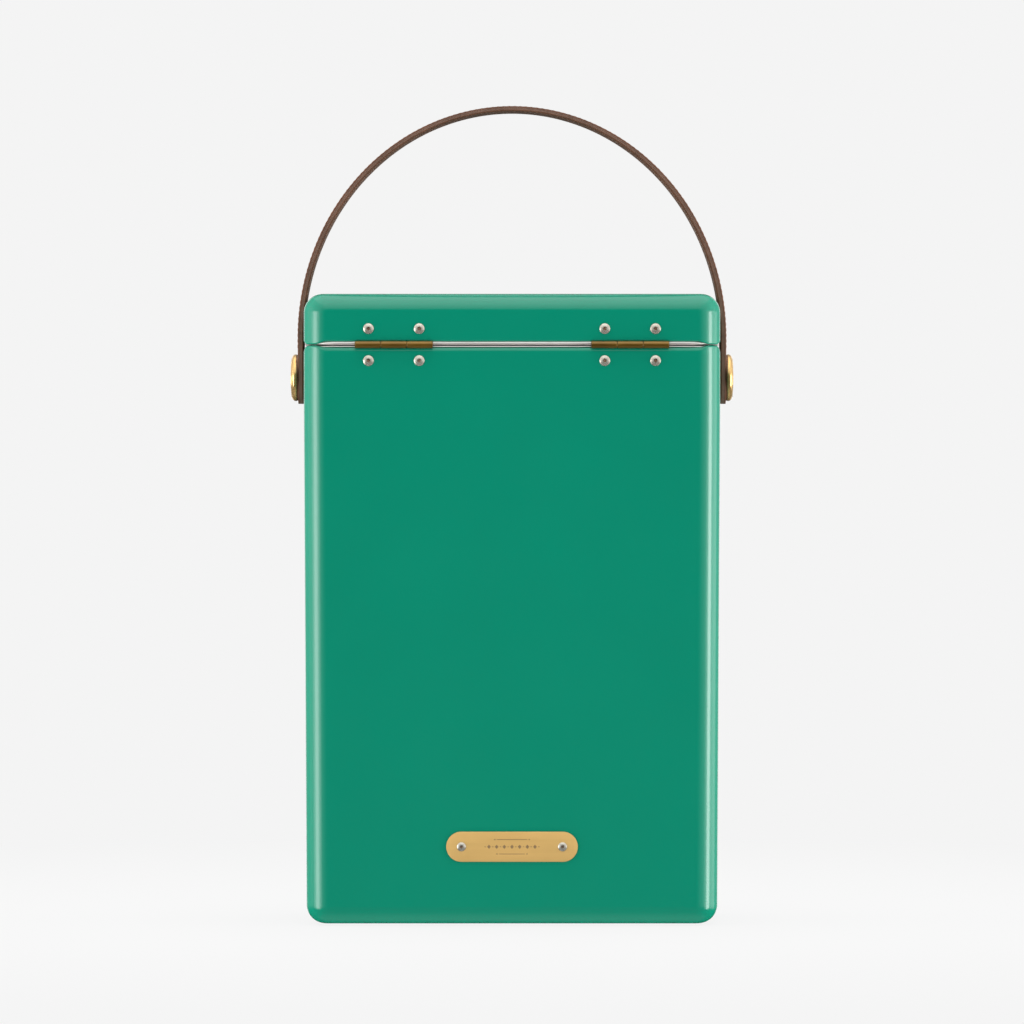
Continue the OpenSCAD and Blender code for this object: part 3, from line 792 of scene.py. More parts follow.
def tub_floor_rows(t):
    """Rows up the tub's floor edge on its inside, or its outside if t is its thickness."""
    rows = []
    for a in steps(90, 0, 8):
        grow = (TUB_TURN + t) * (1 - math.cos(a))
        z = TUB_FLOOR + TUB_TURN - (TUB_TURN + t) * math.sin(a)
        rows.append((WALL - t + grow, max(CAVITY_R + t - grow * 0.6, 4.0), z))
    return rows


def tub():
    """Deep-drawn tub: rounded floor edge, straight wall and a flange whose edge is rounded."""
    t = LINER_T
    floor_middle = (WALL + TUB_TURN + 9, CAVITY_R - 5)
    rows = [(*floor_middle, TUB_FLOOR), *tub_floor_rows(0.0)]
    rows += [(WALL, CAVITY_R, z) for z in (120.0, 240.0)]
    for a in steps(0, 90, 4):
        shift = 1 - math.cos(a)
        rows.append((WALL - shift, CAVITY_R + shift, RIM_TOP - 1 + math.sin(a)))
    rows += [flange_row(PAN_EDGE + RIM_TURN, RIM_TOP), flange_row(PAN_EDGE, RIM_TOP - RIM_DROP)]
    half = (RIM_TOP - RIM_DROP - BODY_TOP) / 2
    rows += flange_edge(BODY_TOP + half, half, steps(90, -90, 6))
    rows += [(WALL - t, CAVITY_R + t, z) for z in (BODY_TOP, 240.0, 120.0)]
    rows += reversed(tub_floor_rows(t))
    rows.append((*floor_middle, TUB_FLOOR - t))
    pressing("steel_tub", rows, BODY_TOP - 2, RIM_TOP + 2, "box", "body_liner")


def lid_pan():
    """The lid's inner pan: flange, plug and a stamped panel."""
    plug_r = CAVITY_R - 1.6
    panel = ((17, 6.0, 1.0), (13, 8.0, 1.0), (12, 8.5, 0.8), (10.5, 9.0, 0.2), (9.5, 9.5, 0.0))
    rows = [(PLUG_INSET + i, r, PAN_LOW - share * STAMP) for i, r, share in panel]
    for a in steps(90, 0, 5):
        grow = PAN_BEND * (1 - math.cos(a))
        rows.append((PLUG_INSET + grow, plug_r - grow, PAN_LOW + PAN_BEND - PAN_BEND * math.sin(a)))
    rows += [(PLUG_INSET - d, plug_r + d, RIM_BOTTOM - drop) for d, drop in ((0.0, 0.4), (0.15, 0.1), (0.4, 0.0))]
    near, far = GROOVE
    far_r = SIDE_R - (far - near)
    rows += [(far + 0.15, far_r - 0.15, RIM_BOTTOM), (far, far_r, RIM_BOTTOM + 0.15), (far, far_r, RIM_BOTTOM + 1)]
    rows += [(near, SIDE_R, RIM_BOTTOM + 1), (near, SIDE_R, RIM_BOTTOM + 0.15)]
    rows += [(near - 0.15, SIDE_R + 0.15, RIM_BOTTOM), flange_row(PAN_EDGE + RIM_TURN, RIM_BOTTOM)]
    rows += flange_edge(LID_BOTTOM - PAN_EDGE, PAN_EDGE, steps(-90, 90, 8))
    t = LINER_T
    rows += [(PLUG_INSET + t, plug_r - t, z) for z in (LID_BOTTOM, PAN_LOW + 2)]
    rows += [(PLUG_INSET + t + 1.2, plug_r - t - 1.2, PAN_LOW + t), (PLUG_INSET + 9.5, 9.5, PAN_LOW + t)]
    rows += [(PLUG_INSET + i, r, PAN_LOW - STAMP + t) for i, r in ((12.5, 8.5), (17, 6.0))]
    pressing("lid_pan", rows, RIM_BOTTOM - 1, LID_BOTTOM + 1, "lid", "lid_liner")


def gasket():
    """A bulb seal in the pan's groove, just clear of the tub's flange."""
    near = GROOVE[0]
    mid, half = sum(GROOVE) / 2, 1.9
    bulb_w, gap = BULB
    centre = RIM_BOTTOM - 0.02
    depth = centre - RIM_TOP - gap
    section = [(mid - half, RIM_BOTTOM + 1), (mid - half, RIM_BOTTOM + 0.1)]
    section += [(mid + bulb_w * math.cos(a), centre + depth * math.sin(a)) for a in steps(180, 360, 8)]
    section += [(mid + half, RIM_BOTTOM + 0.1), (mid + half, RIM_BOTTOM + 1)]
    verts, faces = loft([rect_ring(i, SIDE_R - (i - near), z) for i, z in section], close=True)
    piece = mesh_piece("gasket_bulb", verts, faces, [GASKET], sharp=40)
    settle(piece, "lid", "lid_gasket")


# ---------- Rivets ----------


CAP_SLOPE = 27.0  # how steep a rivet's cap is at its edge, in degrees
BIG_HEAD = (3.4, 1.3, 1.6, 1.05)  # head radius and height, shank radius, hole radius
SMALL_HEAD = (2.9, 1.0, 1.4, 0.85)
TAIL = 2.0
TAIL_R = 2.6
MANDREL_FACE = ((1.0, 0.75), (0.82, 0.50), (0.55, 0.36), (0.2, 0.46), (0.0, 0.50))  # share of the hole, depth


def rivet(build, place, head_r, head_h, shank_r, hole_r, grip):
    """A set blind rivet: flanged cap, the broken mandrel inside it, shank and bulbed tail."""
    flange = 0.38 * head_h
    edge = head_r - 0.13
    lip = hole_r + 0.25
    profile = [(0, -grip - TAIL), (TAIL_R - 0.4, -grip - TAIL)]
    profile += [(TAIL_R, -grip - TAIL * 0.6), (TAIL_R, -grip - TAIL * 0.25), (shank_r, -grip), (shank_r, 0.0)]
    profile += [(head_r - 0.12, 0.0), (head_r, 0.1), (head_r, flange - 0.14), (head_r - 0.04, flange - 0.04)]
    profile.append((edge, flange))
    ball = edge / math.sin(math.radians(CAP_SLOPE))
    base = math.sqrt(ball ** 2 - edge ** 2)
    for i in range(1, 9):
        r = edge - (edge - lip) * i / 8
        profile.append((r, flange + math.sqrt(ball ** 2 - r ** 2) - base))
    top = profile[-1][1]
    profile += [(hole_r + 0.1, top - 0.03), (hole_r, top - 0.15), (hole_r, top - 0.75)]
    build.add(*lathe(profile, place, 40), 0)
    build.add(*lathe([(hole_r * share, top - d) for share, d in MANDREL_FACE], place, 40), 1)


def rivet_set(name, node_name, place_on, base, head, grip, body):
    build = Build()
    for x, z in rivet_spots(node_name):
        rivet(build, place_on(x, z, base), *head, grip)
    piece = build.piece(name, [RIVET, MANDREL], sharp=38)
    fix_normals(piece.data, weld=1e-6)
    shade(piece, 38)
    settle(piece, body, node_name)


# ---------- Hinges ----------


KNUCKLE_R = 2.35
KNUCKLE_EDGE = 0.28
KNUCKLE_GAP = 0.2
PIN_R = 1.2
PIN_TIP = ((0, 0.0), (PIN_R * 0.6, -0.06), (PIN_R, -0.3))  # radius, how far past the pin's end
LEAF_CLEAR = 2.6  # from the pin's axis to the leaf's flat part


def knuckle(x0, x1, y, z, bore):
    c = KNUCKLE_EDGE
    r = KNUCKLE_R - c
    profile = [(bore, x0), (r, x0)]
    profile += [(r + c * math.sin(a), x0 + c - c * math.cos(a)) for a in steps(20, 90, 3)]
    profile += [(r + c * math.cos(a), x1 - c + c * math.sin(a)) for a in steps(0, 70, 3)]
    profile += [(r, x1), (bore, x1)]
    return lathe(profile, along_x(y, z), 40, closed=True)


def pin_rod(x0, x1, y, z, tip, segments):
    """A pin along X. tip gives (radius, how far past x0 or x1) from the middle of its end outward."""
    profile = [(r, x0 - past) for r, past in tip] + [(r, x1 + past) for r, past in reversed(tip)]
    return lathe(profile, along_x(y, z), segments)


def hinge(side):
    """Both leaves and the pin of one hinge, as three pieces."""
    low, high = span(f"hinge_pin_{side}")
    axis_y, axis_z = (low.y + high.y) / 2, (low.z + high.z) / 2
    x0, x1 = low.x, high.x
    length = (x1 - x0 - 2 * KNUCKLE_GAP) / 3
    starts = [x0 + i * (length + KNUCKLE_GAP) for i in range(3)]
    y0, y1 = BACK_Y - LEAF_BACK, BACK_Y - LEAF_IN
    for part, body, mine, up in (("body", "box", starts[::2], -1), ("lid", "lid", starts[1:2], 1)):
        leaf_z = span(f"hinge_{part}_leaf_{side}")[up > 0].z

        def heights(near, far):
            return sorted((axis_z + up * near, axis_z + up * far))

        build = Build()
        for a in mine:
            build.add(*knuckle(a, a + length, axis_y, axis_z, PIN_R + 0.03))
            build.add(*block(a + 0.15, a + length - 0.15, y0, axis_y - 1.6, *heights(0.15, 1.25), 0.1))
        build.add(*block(x0, x1, y0, y1, *heights(LEAF_CLEAR, abs(leaf_z - axis_z)), 0.15))
        for a in mine:
            build.add(*block(a + 0.2, a + length - 0.2, y0 + 0.02, y1 - 0.02, *heights(0.2, LEAF_CLEAR + 0.1), 0.1))
        piece = build.piece(f"hinge_leaf_{part}_{side}", [HINGE_BRASS], sharp=30)
        settle(piece, body, f"hinge_{part}_leaf_{side}")
    verts, faces = pin_rod(x0, x1, axis_y, axis_z, PIN_TIP, 24)
    pin = mesh_piece(f"hinge_pin_rod_{side}", verts, faces, [HINGE_BRASS], sharp=50)
    settle(pin, "box", f"hinge_pin_{side}")


# ---------- Nameplate ----------


MARK_PITCH = 4.9
LINE_V = 4.6  # height of the two thin lines above and below the row of diamonds


def diamond(cu, cv, w, h):
    return [(cu + w / 2, cv), (cu, cv + h / 2), (cu - w / 2, cv), (cu, cv - h / 2)]


def bar(cu, cv, w, h):
    return [(cu - w / 2, cv - h / 2), (cu + w / 2, cv - h / 2), (cu + w / 2, cv + h / 2), (cu - w / 2, cv + h / 2)]


def nameplate():
    """Stadium plate with a plain ornament of bars and diamonds cut into it, and no lettering."""
    low, high = span("nameplate")
    centre_z = (low.z + high.z) / 2
    holes = [circle(SMALL_HOLE, x, z - centre_z, 24) for x, z in rivet_spots("nameplate_rivets")]
    marks = [diamond(i * MARK_PITCH, 0.0, 2.4, 2.8) for i in range(-3, 4)]
    marks += [bar((i + 0.5) * MARK_PITCH, 0.0, 0.9, 0.45) for i in range(-4, 4)]
    for v, reach in ((LINE_V, 9.6), (-LINE_V, 8.2)):
        marks.append(bar(0.0, v, 2 * reach, 0.4))
        marks += [diamond(s * (reach + 1.4), v, 1.1, 1.1) for s in (-1, 1)]
    outline = stadium(high.x - low.x, high.z - low.z, 28)
    build = Build()
    build.add(*plate(out_back(0, centre_z), outline, high.y - low.y, 0.22, holes, marks))
    piece = build.piece("nameplate_engraved", [PLATE_BRASS, ENGRAVED], sharp=30)
    settle(piece, "box", "nameplate")


# ---------- Studs, washers and eyelets ----------


STUD_SEGMENTS = 96
CAP_RIM = 4.0  # height of the cap's side
COLLAR = 0.9  # height of the collar at its foot, coloured dark as painted shade
DOME_ROWS = 14
WASHER_R = 9.0
POST_BORE = 3.05  # bore of the washers and eyelets
EYELET_R = 7.0  # radius of the eyelet's flange, and of its sleeve
SLEEVE_R = 4.5


def across(node_name):
    """How near to the middle and how far out a CAD node reaches in X."""
    low, high = span(node_name)
    return sorted((abs(low.x), abs(high.x)))


def stud(side, s):
    post = middle(f"strap_post_{side}")
    cap_low, cap_high = span(f"stud_cap_{side}")
    inner, outer = across(f"stud_cap_{side}")
    r = (cap_high.z - cap_low.z) / 2
    dome_h = outer - inner - CAP_RIM
    place = out_side(s, post.y, post.z)
    ball = (r * r + dome_h * dome_h) / (2 * dome_h)
    profile = [(0, inner), (r - 0.5, inner), (r - 0.25, inner + 0.2), (r - 0.25, inner + COLLAR)]
    shaded_collar_faces = (len(profile) - 1) * STUD_SEGMENTS
    profile += [(r - 0.05, inner + COLLAR + 0.1), (r, inner + COLLAR + 0.3)]
    turn = CAP_RIM - COLLAR - 0.7
    rim_top = inner + CAP_RIM - turn + 0.02
    for a in steps(0, 90, 8):
        profile.append((r - turn + turn * math.cos(a), rim_top + (turn + 0.05) * math.sin(a)))
    reach = math.asin((r - turn - 0.1) / ball)
    for i in range(DOME_ROWS):
        a = reach * (1 - i / DOME_ROWS)
        profile.append((ball * math.sin(a), inner + CAP_RIM + dome_h - ball + ball * math.cos(a)))
    profile.append((0, outer))
    verts, faces = lathe(profile, place, STUD_SEGMENTS)
    # The collar's faces get the dark brass, a painted shade.
    marks = [1 if i < shaded_collar_faces else 0 for i in range(len(faces))]
    cap = mesh_piece(f"stud_button_{side}", verts, faces, [STUD_BRASS, STUD_COLLAR_SHADE], marks)
    settle(cap, "box", f"stud_cap_{side}")

    a, b = across(f"spacer_washer_{side}")
    w, bore = WASHER_R, POST_BORE
    ring = [(bore, a), (w - 0.1, a), (w, a + 0.1), (w, b - 0.1), (w - 0.1, b), (bore + 0.1, b), (bore, b - 0.1)]
    verts, faces = lathe(ring, place, closed=True)
    washer = mesh_piece(f"washer_{side}", verts, faces, [STUD_BRASS])
    settle(washer, "box", f"spacer_washer_{side}")

    a, b = across(f"strap_eyelet_{side}")
    flange = b - 2 * PLY_T
    bore = POST_BORE + 0.02
    ring = [(bore, a + 0.1), (bore + 0.1, a), (EYELET_R - 0.2, a), (EYELET_R, a + 0.15), (EYELET_R, flange)]
    ring += [(SLEEVE_R, flange), (SLEEVE_R, b), (bore, b)]
    verts, faces = lathe(ring, place, closed=True)
    eyelet = mesh_piece(f"eyelet_{side}", verts, faces, [STUD_BRASS])
    settle(eyelet, "handle", f"strap_eyelet_{side}")


# ---------- Strap ----------


STRAP_TAIL = 17.0  # how far the strap's ends reach below the studs
ARCH_RISE = 25.7  # from the studs to where the arch starts
ARCH_ROWS = 150
PLY_T = 1.85
PARING = 0.15  # how much thinner the strap is at the top, as a share
CORE = 0.85  # thickness of the lighter edge band next to the glue line: edge dressing, lightened as a painted highlight
ROUND_R, SQUARE_R = 0.8, 0.12  # a ply's burnished corner and its glued one
GROOVE_IN = 1.9  # from the edge to the crease line
END_HALF = 1.2  # half-width of the strap's very end


def strap_line():
    """The outer face's line as (x, z, normal x, normal z, share of the full thickness), from end to end, with the
    strap's lowest z, its half-width and the left post."""
    low, high = span("strap_outer")
    post = middle("strap_post_left")
    a = high.x
    arch_z = post.z + ARCH_RISE
    b = high.z - arch_z
    end = post.z - STRAP_TAIL
    half = (high.y - low.y) / 2
    leg = [end + half - half * math.cos(t) for t in steps(0, 90, 14)]
    while leg[-1] < arch_z - 4:
        leg.append(leg[-1] + 3.2)
    line = [(a, z, 1.0, 0.0, 1.0) for z in leg]
    for i in range(ARCH_ROWS + 1):
        t = math.pi * i / ARCH_ROWS
        nx, nz = math.cos(t) / a, math.sin(t) / b
        n = math.hypot(nx, nz)
        line.append((a * math.cos(t), arch_z + b * math.sin(t), nx / n, nz / n, 1 - PARING * math.sin(t) ** 2))
    line += [(-a, z, -1.0, 0.0, 1.0) for z in reversed(leg)]
    return line, end, half, post


def ply_section(half, outer):
    """Half-width, depth points around one ply. The free corner is burnished round and the glued one is nearly square.
    Depth runs inward from the ply's own outer face."""
    top_r, low_r = (ROUND_R, SQUARE_R) if outer else (SQUARE_R, ROUND_R)
    split = PLY_T - CORE if outer else CORE
    points = arc(half - low_r, PLY_T - low_r, low_r, 90, 0, 5)
    points.append((half, split))
    points += arc(half - top_r, top_r, top_r, 0, -90, 5)
    if outer and half > 6:
        for edge in (half - GROOVE_IN, GROOVE_IN - half):
            points += [(edge + 0.32, 0.0), (edge + 0.12, 0.11), (edge - 0.12, 0.11), (edge - 0.32, 0.0)]
    elif outer:
        flat = half - top_r
        points += [(flat * k, 0.0) for k in (0.8, 0.6, 0.4, 0.2, -0.2, -0.4, -0.6, -0.8)]
    points += arc(-half + top_r, top_r, top_r, -90, -180, 5)
    points.append((-half, split))
    points += arc(-half + low_r, PLY_T - low_r, low_r, 180, 90, 5)
    return points


def strap_ply(name, outer, node_name, material):
    line, end, full, post = strap_line()
    first = 0.0 if outer else PLY_T
    rings = []
    for x, z, nx, nz, share in line:
        rise = end + full - z
        half = full
        if rise > 0:
            half = max(math.sqrt(max(full ** 2 - rise ** 2, 0.0)), END_HALF)
        ring = []
        for u, d in ply_section(half, outer):
            depth = (first + d) * share
            ring.append((x - depth * nx, post.y + u, z - depth * nz))
        rings.append(ring)
    verts, faces = loft(rings)
    section = ply_section(full, outer)
    n = len(section)
    mats = []
    for f in faces[:-2]:
        k = f[0] % n
        (u0, d0), (u1, d1) = section[k], section[(k + 1) % n]
        glued = PLY_T - (d0 + d1) / 2 if outer else (d0 + d1) / 2
        # Edge faces near the glue line take the lighter edge colour, partly a painted highlight.
        lit_core_band = (abs(u0) + abs(u1)) / 2 > full - 0.4 and glued < CORE
        mats.append(1 if lit_core_band else 0)
    mats += [1, 1]
    piece = mesh_piece(name, verts, faces, [material, EDGE_DRESSING_AND_HIGHLIGHT], mats, sharp=50)
    carve(piece, [rod(x - 10, x + 10, post.y, post.z, EYELET_HOLE) for x in (-140, 140)], sharp=50)
    settle(piece, "handle", node_name)


STITCH_START = 34.0  # from the strap's end
STITCH_PITCH = 3.6
STITCH_GAP = 0.7
STITCH_IN = 3.4  # from the strap's edge
THREAD_R = 0.30
STITCH_LIFT = 0.1  # how far the thread stands on the outside
STITCH_SINK = 0.15  # and how far it is sunk on the inside, clear of the box


def stitching():
    """Saddle stitches along both edges, seen on the strap's outside and inside."""
    line, _, half, post = strap_line()
    pts = [(Vector((x, z)), Vector((nx, nz)), share) for x, z, nx, nz, share in line]
    lengths = [0.0]
    for before, after in zip(pts, pts[1:]):
        lengths.append(lengths[-1] + (after[0] - before[0]).length)

    def at(s):
        i = bisect.bisect_right(lengths, s) - 1
        t = (s - lengths[i]) / (lengths[i + 1] - lengths[i])
        p = pts[i][0].lerp(pts[i + 1][0], t)
        n = pts[i][1].lerp(pts[i + 1][1], t).normalized()
        return p, n, pts[i][2] + (pts[i + 1][2] - pts[i][2]) * t

    room = lengths[-1] - 2 * STITCH_START
    count = int(room / STITCH_PITCH)
    first = STITCH_START + (room - count * STITCH_PITCH) / 2 + STITCH_GAP / 2
    build = Build()
    for i in range(count):
        s0 = first + i * STITCH_PITCH
        for inside, sign, level in ((0, 1, -STITCH_LIFT), (1, -1, STITCH_SINK)):
            for u in (-half + STITCH_IN, half - STITCH_IN):
                rings = []
                for k in range(7):
                    t = k / 6
                    p, n, share = at(s0 + (STITCH_PITCH - STITCH_GAP) * t)
                    swell = math.sin(math.pi * min(max(t, 0.06), 0.94)) ** 0.45
                    d = inside * 2 * PLY_T * share + sign * (0.26 * (1 - swell) + level)
                    centre = p - d * n
                    ring = []
                    for across_u, along_n in circle(THREAD_R * (0.55 + 0.45 * swell), n=6):
                        off = 0.8 * along_n
                        ring.append((centre.x + off * n.x, post.y + u + across_u, centre.y + off * n.y))
                    rings.append(ring)
                build.add(*loft(rings))
    piece = build.piece("strap_stitching", [THREAD], sharp=80)
    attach(piece, "handle")


# ---------- Latch on the front ----------


LATCH_T = 1.2  # thickness of the two plates
LATCH_EDGE = 0.22
FLAP_T = 1.4
BARREL_R = 2.2
BARREL_BORE = 1.12
MIDDLE_HALF = 6.0  # half the width of the flap's barrel
SIDE_BARREL = 6.8  # width of the barrels on each side of it
BARREL_GAP = 0.2
HASP_TIP = ((0, 0.25), (0.7, 0.18), (1.08, -0.15))  # radius, how far past the barrels
SHOULDER_R, SHOULDER_Z = 2.2, -3.0
SLOT_W, SLOT_L, SLOT_Z = 6.6, 15.5, -25.5
KNOB_HEAD_FROM, KNOB_HEAD_T = 4.0, 2.4  # from the front face to the knob's head, and its thickness
KNOB_SHAFT = (  # radius, distance out from the front face
    (0, -2.4), (4.3, -2.4), (4.5, -2.2), (4.5, -1.4), (4.3, -1.2), (2.3, -1.2), (2.3, 1.25), (3.0, 1.3), (3.0, 1.7),
    (2.3, 1.9), (2.3, KNOB_HEAD_FROM + 0.2), (0, KNOB_HEAD_FROM + 0.2),
)


def barrel(x0, x1, pin):
    c, r, bore = 0.25, BARREL_R, BARREL_BORE
    profile = [(bore, x0), (r - c, x0), (r, x0 + c), (r, x1 - c), (r - c, x1), (bore, x1)]
    return lathe(profile, along_x(pin.y, pin.z), 36, closed=True)


def front_holes(node_name, centre_z):
    return [circle(SMALL_HOLE, -x, z - centre_z, 24) for x, z in rivet_spots(node_name)]


def hasp():
    """The keeper with its two barrels, its pin, and the slotted flap that hangs on it."""
    pin = middle("hasp_pin")
    low, high = span("hasp_base")
    centre_z = (low.z + high.z) / 2
    outline = rounded(high.x - low.x, high.z - low.z, 3.0)
    near = MIDDLE_HALF + BARREL_GAP
    far = near + SIDE_BARREL
    build = Build()
    holes = front_holes("hasp_base_rivets", centre_z)
    build.add(*plate(out_front(0, centre_z), outline, LATCH_T, LATCH_EDGE, holes))
    for x0, x1 in ((-far, -near), (near, far)):
        build.add(*barrel(x0, x1, pin))
        build.add(*block(x0 + 0.1, x1 - 0.1, pin.y + 1.3, FRONT_Y - 0.6, pin.z - 1.9, pin.z + 1.9, 0.3))
    base = build.piece("hasp_keeper", [PLATE_BRASS], sharp=30)
    settle(base, "box", "hasp_base")

    verts, faces = pin_rod(-far, far, pin.y, pin.z, HASP_TIP, 28)
    rod_piece = mesh_piece("hasp_pin_rod", verts, faces, [STUD_BRASS], sharp=50)
    settle(rod_piece, "box", "hasp_pin")

    low, high = span("hasp_flap")
    half = (high.x - low.x) / 2
    corner_u, corner_v = half - SHOULDER_R, SHOULDER_Z - SHOULDER_R
    outline = arc(0, low.z - pin.z + half, half, 180, 360, 40)
    outline += arc(corner_u, corner_v, SHOULDER_R, 0, 90, 8)
    outline += [(MIDDLE_HALF, SHOULDER_Z), (MIDDLE_HALF, -1.6), (-MIDDLE_HALF, -1.6), (-MIDDLE_HALF, SHOULDER_Z)]
    outline += arc(-corner_u, corner_v, SHOULDER_R, 90, 180, 8)
    slot_hole = [(u, v + SLOT_Z) for u, v in upright(SLOT_L, SLOT_W, 16)]
    build = Build()
    build.add(*barrel(-MIDDLE_HALF, MIDDLE_HALF, pin))
    place = out_front(0, pin.z, pin.y + FLAP_T / 2)
    build.add(*plate(place, outline, FLAP_T, 0.25, [slot_hole]))
    flap = build.piece("hasp_strap", [PLATE_BRASS], sharp=30)
    settle(flap, "hasp", "hasp_flap")


def turn_latch():
    """The plate on the lid and the knob that turns in it."""
    low, high = span("turn_plate")
    centre_z = (low.z + high.z) / 2
    outline = stadium(high.x - low.x, high.z - low.z)
    holes = front_holes("turn_plate_rivets", centre_z) + [circle(KNOB_HOLE, n=28)]
    build = Build()
    build.add(*plate(out_front(0, centre_z), outline, LATCH_T, LATCH_EDGE, holes))
    piece = build.piece("turn_escutcheon", [PLATE_BRASS], sharp=30)
    settle(piece, "lid", "turn_plate")

    place = out_front(0, middle("turn_knob").z)
    head_top = KNOB_HEAD_FROM + KNOB_HEAD_T
    grip = FRONT_Y - span("turn_knob")[0].y - head_top
    build = Build()
    build.add(*lathe(KNOB_SHAFT, place, 32))
    build.add(*plate(place, upright(14.0, 5.6, 14), KNOB_HEAD_T, 0.5, base=KNOB_HEAD_FROM, rows=5))
    build.add(*plate(place, upright(9.6, 2.4, 10), grip + 0.4, 0.7, base=head_top - 0.4, rows=5))
    piece = build.piece("turn_button", [STUD_BRASS], sharp=35)
    settle(piece, "knob", "turn_knob")


# ---------- Feet ----------


FOOT_R = 8.0


def feet():
    low, high = span("rubber_feet")
    r = FOOT_R
    profile = [(0, 0.35), (2.2, 0.35), (2.6, 0.0), (r - 0.4, 0.0), (r - 0.1, 0.12), (r, 0.4), (r, high.z), (0, high.z)]
    build = Build()
    for x in (low.x + r, high.x - r):
        for y in (low.y + r, high.y - r):
            build.add(*lathe(profile, lambda u, v, h, x=x, y=y: (x + u, y + v, h), 40))
    piece = build.piece("feet_pads", [BLACK], sharp=35)
    settle(piece, "box", "rubber_feet")


# ---------- The object ----------


body_casing()
lid_casing()
tub()
lid_pan()
gasket()

PLATE_Y = FRONT_Y - LATCH_T
rivet_set("rivets_hinge_body", "body_hinge_rivets", out_back, BACK_Y, BIG_HEAD, 2.2, "box")
rivet_set("rivets_hinge_lid", "lid_hinge_rivets", out_back, BACK_Y, BIG_HEAD, 2.2, "lid")
rivet_set("rivets_nameplate", "nameplate_rivets", out_back, span("nameplate")[1].y, SMALL_HEAD, 2.0, "box")
rivet_set("rivets_hasp", "hasp_base_rivets", out_front, PLATE_Y, SMALL_HEAD, 2.2, "box")
rivet_set("rivets_turn_plate", "turn_plate_rivets", out_front, PLATE_Y, SMALL_HEAD, 2.2, "lid")

for side, sign in (("left", -1), ("right", 1)):
    hinge(side)
    stud(side, sign)

nameplate()
strap_ply("strap_face", True, "strap_outer", LEATHER)
strap_ply("strap_back", False, "strap_lining", LINING)
stitching()
hasp()
turn_latch()
feet()

for material, names in (
    (FOAM, ("body_insulation", "lid_insulation")),
    (STUD_BRASS, ("strap_post_left", "strap_post_right")),
    (ZINC, ("backing_plate_left", "backing_plate_right", "post_nut_left", "post_nut_right")),
):
    for name in names:
        mesh = nodes[name].data
        mesh.materials.clear()
        mesh.materials.append(material)


# ---------- Stage, light and camera ----------


PAPER = 0.905  # how bright the paper looks
BOUNCE = 1.95  # how much light it throws back on the object
FLOOR_R = 6000.0
WHITE = (1, 1, 1, 1)


def glow(tree, strength):
    return node(tree, "ShaderNodeEmission", {"Color": WHITE, "Strength": strength}).outputs[0]


def mixed(tree, share, first, second):
    return node(tree, "ShaderNodeMixShader", {0: share, 1: first, 2: second}).outputs[0]


def floor_material():
    """White paper that is lit a little near the object and evens out to the backdrop further off."""
    material, tree = empty_material("white_paper")
    where = node(tree, "ShaderNodeTexCoord").outputs["Object"]
    away = node(tree, "ShaderNodeVectorMath", {0: where}, operation="LENGTH").outputs["Value"]
    plain = spread(tree, away, 0.0, 1.0, 0.25, 0.9)
    matt = node(tree, "ShaderNodeBsdfDiffuse", {"Color": (0.03, 0.03, 0.03, 1)}).outputs[0]
    lit = node(tree, "ShaderNodeAddShader", {0: glow(tree, PAPER - 0.04), 1: matt}).outputs[0]
    paper = mixed(tree, plain, lit, glow(tree, PAPER))
    path = node(tree, "ShaderNodeLightPath").outputs["Is Diffuse Ray"]
    node(tree, "ShaderNodeOutputMaterial", {"Surface": mixed(tree, path, paper, glow(tree, BOUNCE))})
    return material


disc = [(x, y, 0.0) for x, y in circle(FLOOR_R, n=96)]
paper_floor = mesh_piece("paper_floor", disc, [tuple(range(len(disc)))], [floor_material()])
paper_floor.visible_glossy = False


def softbox(name, at, target, width, height, power):
    light = bpy.data.lights.new(name, "AREA")
    light.shape = "RECTANGLE"
    light.size = width
    light.size_y = height
    light.energy = power
    lamp = bpy.data.objects.new(name, light)
    lamp.location = at
    direction = Vector(target) - Vector(at)
    lamp.rotation_euler = direction.to_track_quat("-Z", "Y").to_euler()
    lamp.visible_camera = False
    bpy.context.scene.collection.objects.link(lamp)
    return lamp


def around(azimuth, distance, z):
    """A point at that angle from the hinge side (+Y) towards +X."""
    a = math.radians(azimuth)
    return (distance * math.sin(a), distance * math.cos(a), z)


HEART = (0.0, 0.0, 0.24)
BOX_Z = 0.03  # height of the softboxes at the sides
WAIST = (0.0, 0.0, BOX_Z)
for name, at, target, width, height, power in (
    ("core_left", around(61, 1.3, BOX_Z), WAIST, 0.41, 0.95, 5.2),
    ("wide_left", around(61, 1.5, BOX_Z), WAIST, 1.09, 0.95, 7.1),
    ("core_right", around(-69, 1.3, BOX_Z), WAIST, 0.36, 0.95, 8.8),
    ("wide_right", around(-82, 1.5, BOX_Z), WAIST, 1.87, 0.95, 9.5),
    ("front_left", around(158, 2.0, 0.35), HEART, 0.5, 1.6, 2.6),
    ("front_right", around(-158, 2.0, 0.35), HEART, 0.5, 1.6, 2.6),
    ("overhead", (0.0, 0.0, 1.75), HEART, 2.2, 2.0, 11),
    ("high_back", (0.0, 1.6, 1.65), HEART, 1.6, 1.4, 4),
):
    softbox(name, at, target, width, height, power)
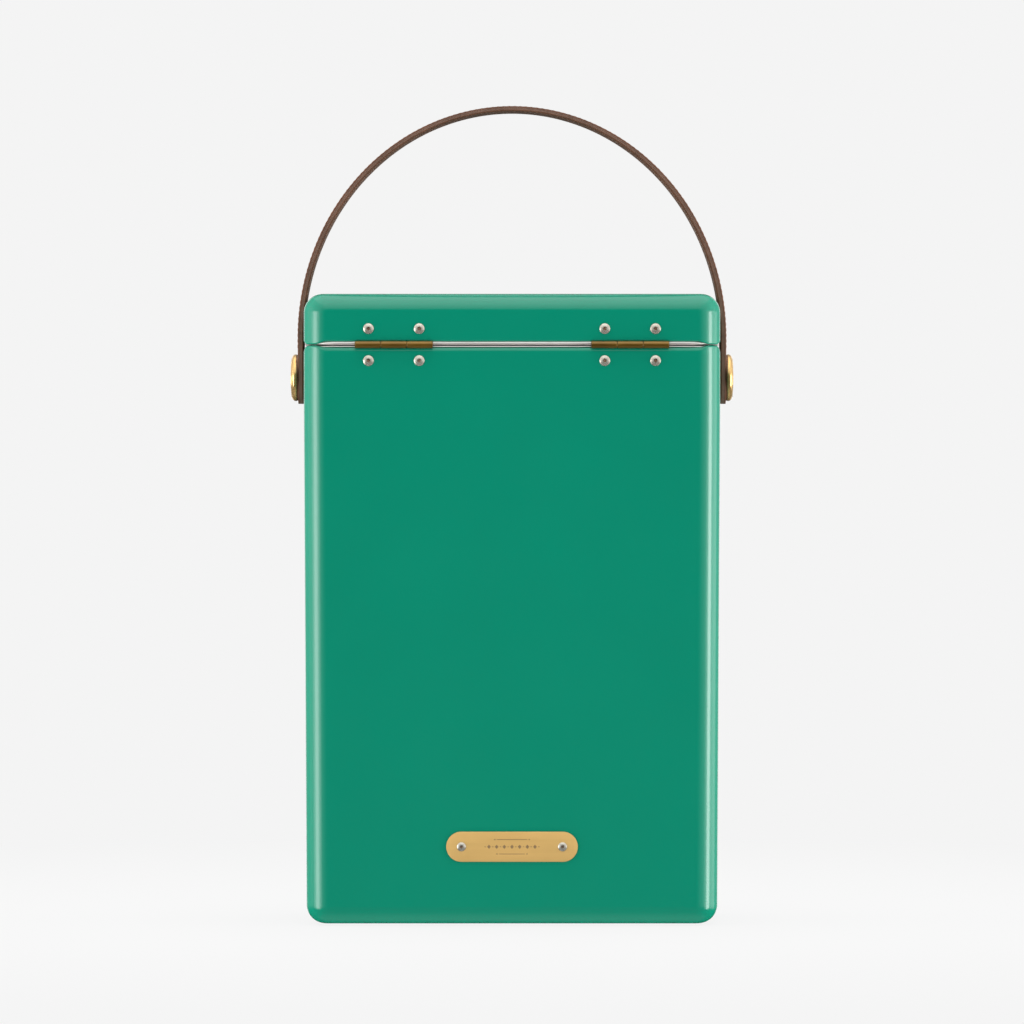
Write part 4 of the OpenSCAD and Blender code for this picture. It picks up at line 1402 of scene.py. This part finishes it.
for name, at, width, height, power in (
    ("front_fill", (0.0, -2.2, 0.5), 2.4, 1.8, 34),
    ("side_fill_left", (1.5, -0.1, 0.3), 0.9, 1.2, 34),
    ("side_fill_right", (-1.5, -0.1, 0.3), 0.9, 1.2, 31),
    ("top_fill", (0.0, 0.0, 1.9), 1.2, 1.2, 27),
):
    softbox(name, at, HEART, width, height, power).visible_glossy = False

# Brightness of the surroundings from the latch side (0) to the hinge side (1), and from below (0) to above (1)
ALONG_Y = (
    (0.0, 0.4), (0.1, 0.45), (0.3, 0.7), (0.415, 1.25), (0.853, 1.2), (0.91, 0.8), (0.953, 0.42), (0.9755, 0.13),
    (0.989, 0.01),
)
ALONG_Z = ((0.0, 0.33), (0.04, 0.3), (0.14, 0.06), (0.35, 0.06), (0.51, 1.0))


def world():
    """Even studio surroundings, dark straight out from the hinge side and below, and plain paper behind."""
    made = bpy.data.worlds.new("studio")
    bpy.context.scene.world = made
    made.use_nodes = True
    tree = made.node_tree
    tree.nodes.clear()
    where = node(tree, "ShaderNodeTexCoord").outputs["Generated"]
    axis = node(tree, "ShaderNodeSeparateXYZ", {0: where}).outputs
    level = grey_ramp(tree, spread(tree, axis["Y"], 0.0, 1.0, -1.0, 1.0), ALONG_Y)
    below = grey_ramp(tree, spread(tree, axis["Z"], 0.0, 1.0, -1.0, 1.0), ALONG_Z)
    surround = node(tree, "ShaderNodeBackground", {"Color": level, "Strength": below}).outputs[0]
    paper = node(tree, "ShaderNodeBackground", {"Color": WHITE, "Strength": PAPER}).outputs[0]
    path = node(tree, "ShaderNodeLightPath").outputs["Is Camera Ray"]
    node(tree, "ShaderNodeOutputWorld", {"Surface": mixed(tree, path, surround, paper)})


world()
bpy.context.scene.view_settings.view_transform = "Standard"
bpy.context.scene.view_settings.look = "None"

CAMERA_AWAY = 3.641  # metres from the hinge side
CAMERA_Z = 0.2646
camera_data = bpy.data.cameras.new("camera")
camera_data.lens = 200.4
camera_data.sensor_width = 36
camera_data.clip_end = 50
camera = bpy.data.objects.new("camera", camera_data)
camera.location = (0.0, BACK_Y * MM + CAMERA_AWAY, CAMERA_Z)
camera.rotation_euler = (math.radians(90), 0, math.radians(180))
bpy.context.scene.collection.objects.link(camera)
bpy.context.scene.camera = camera
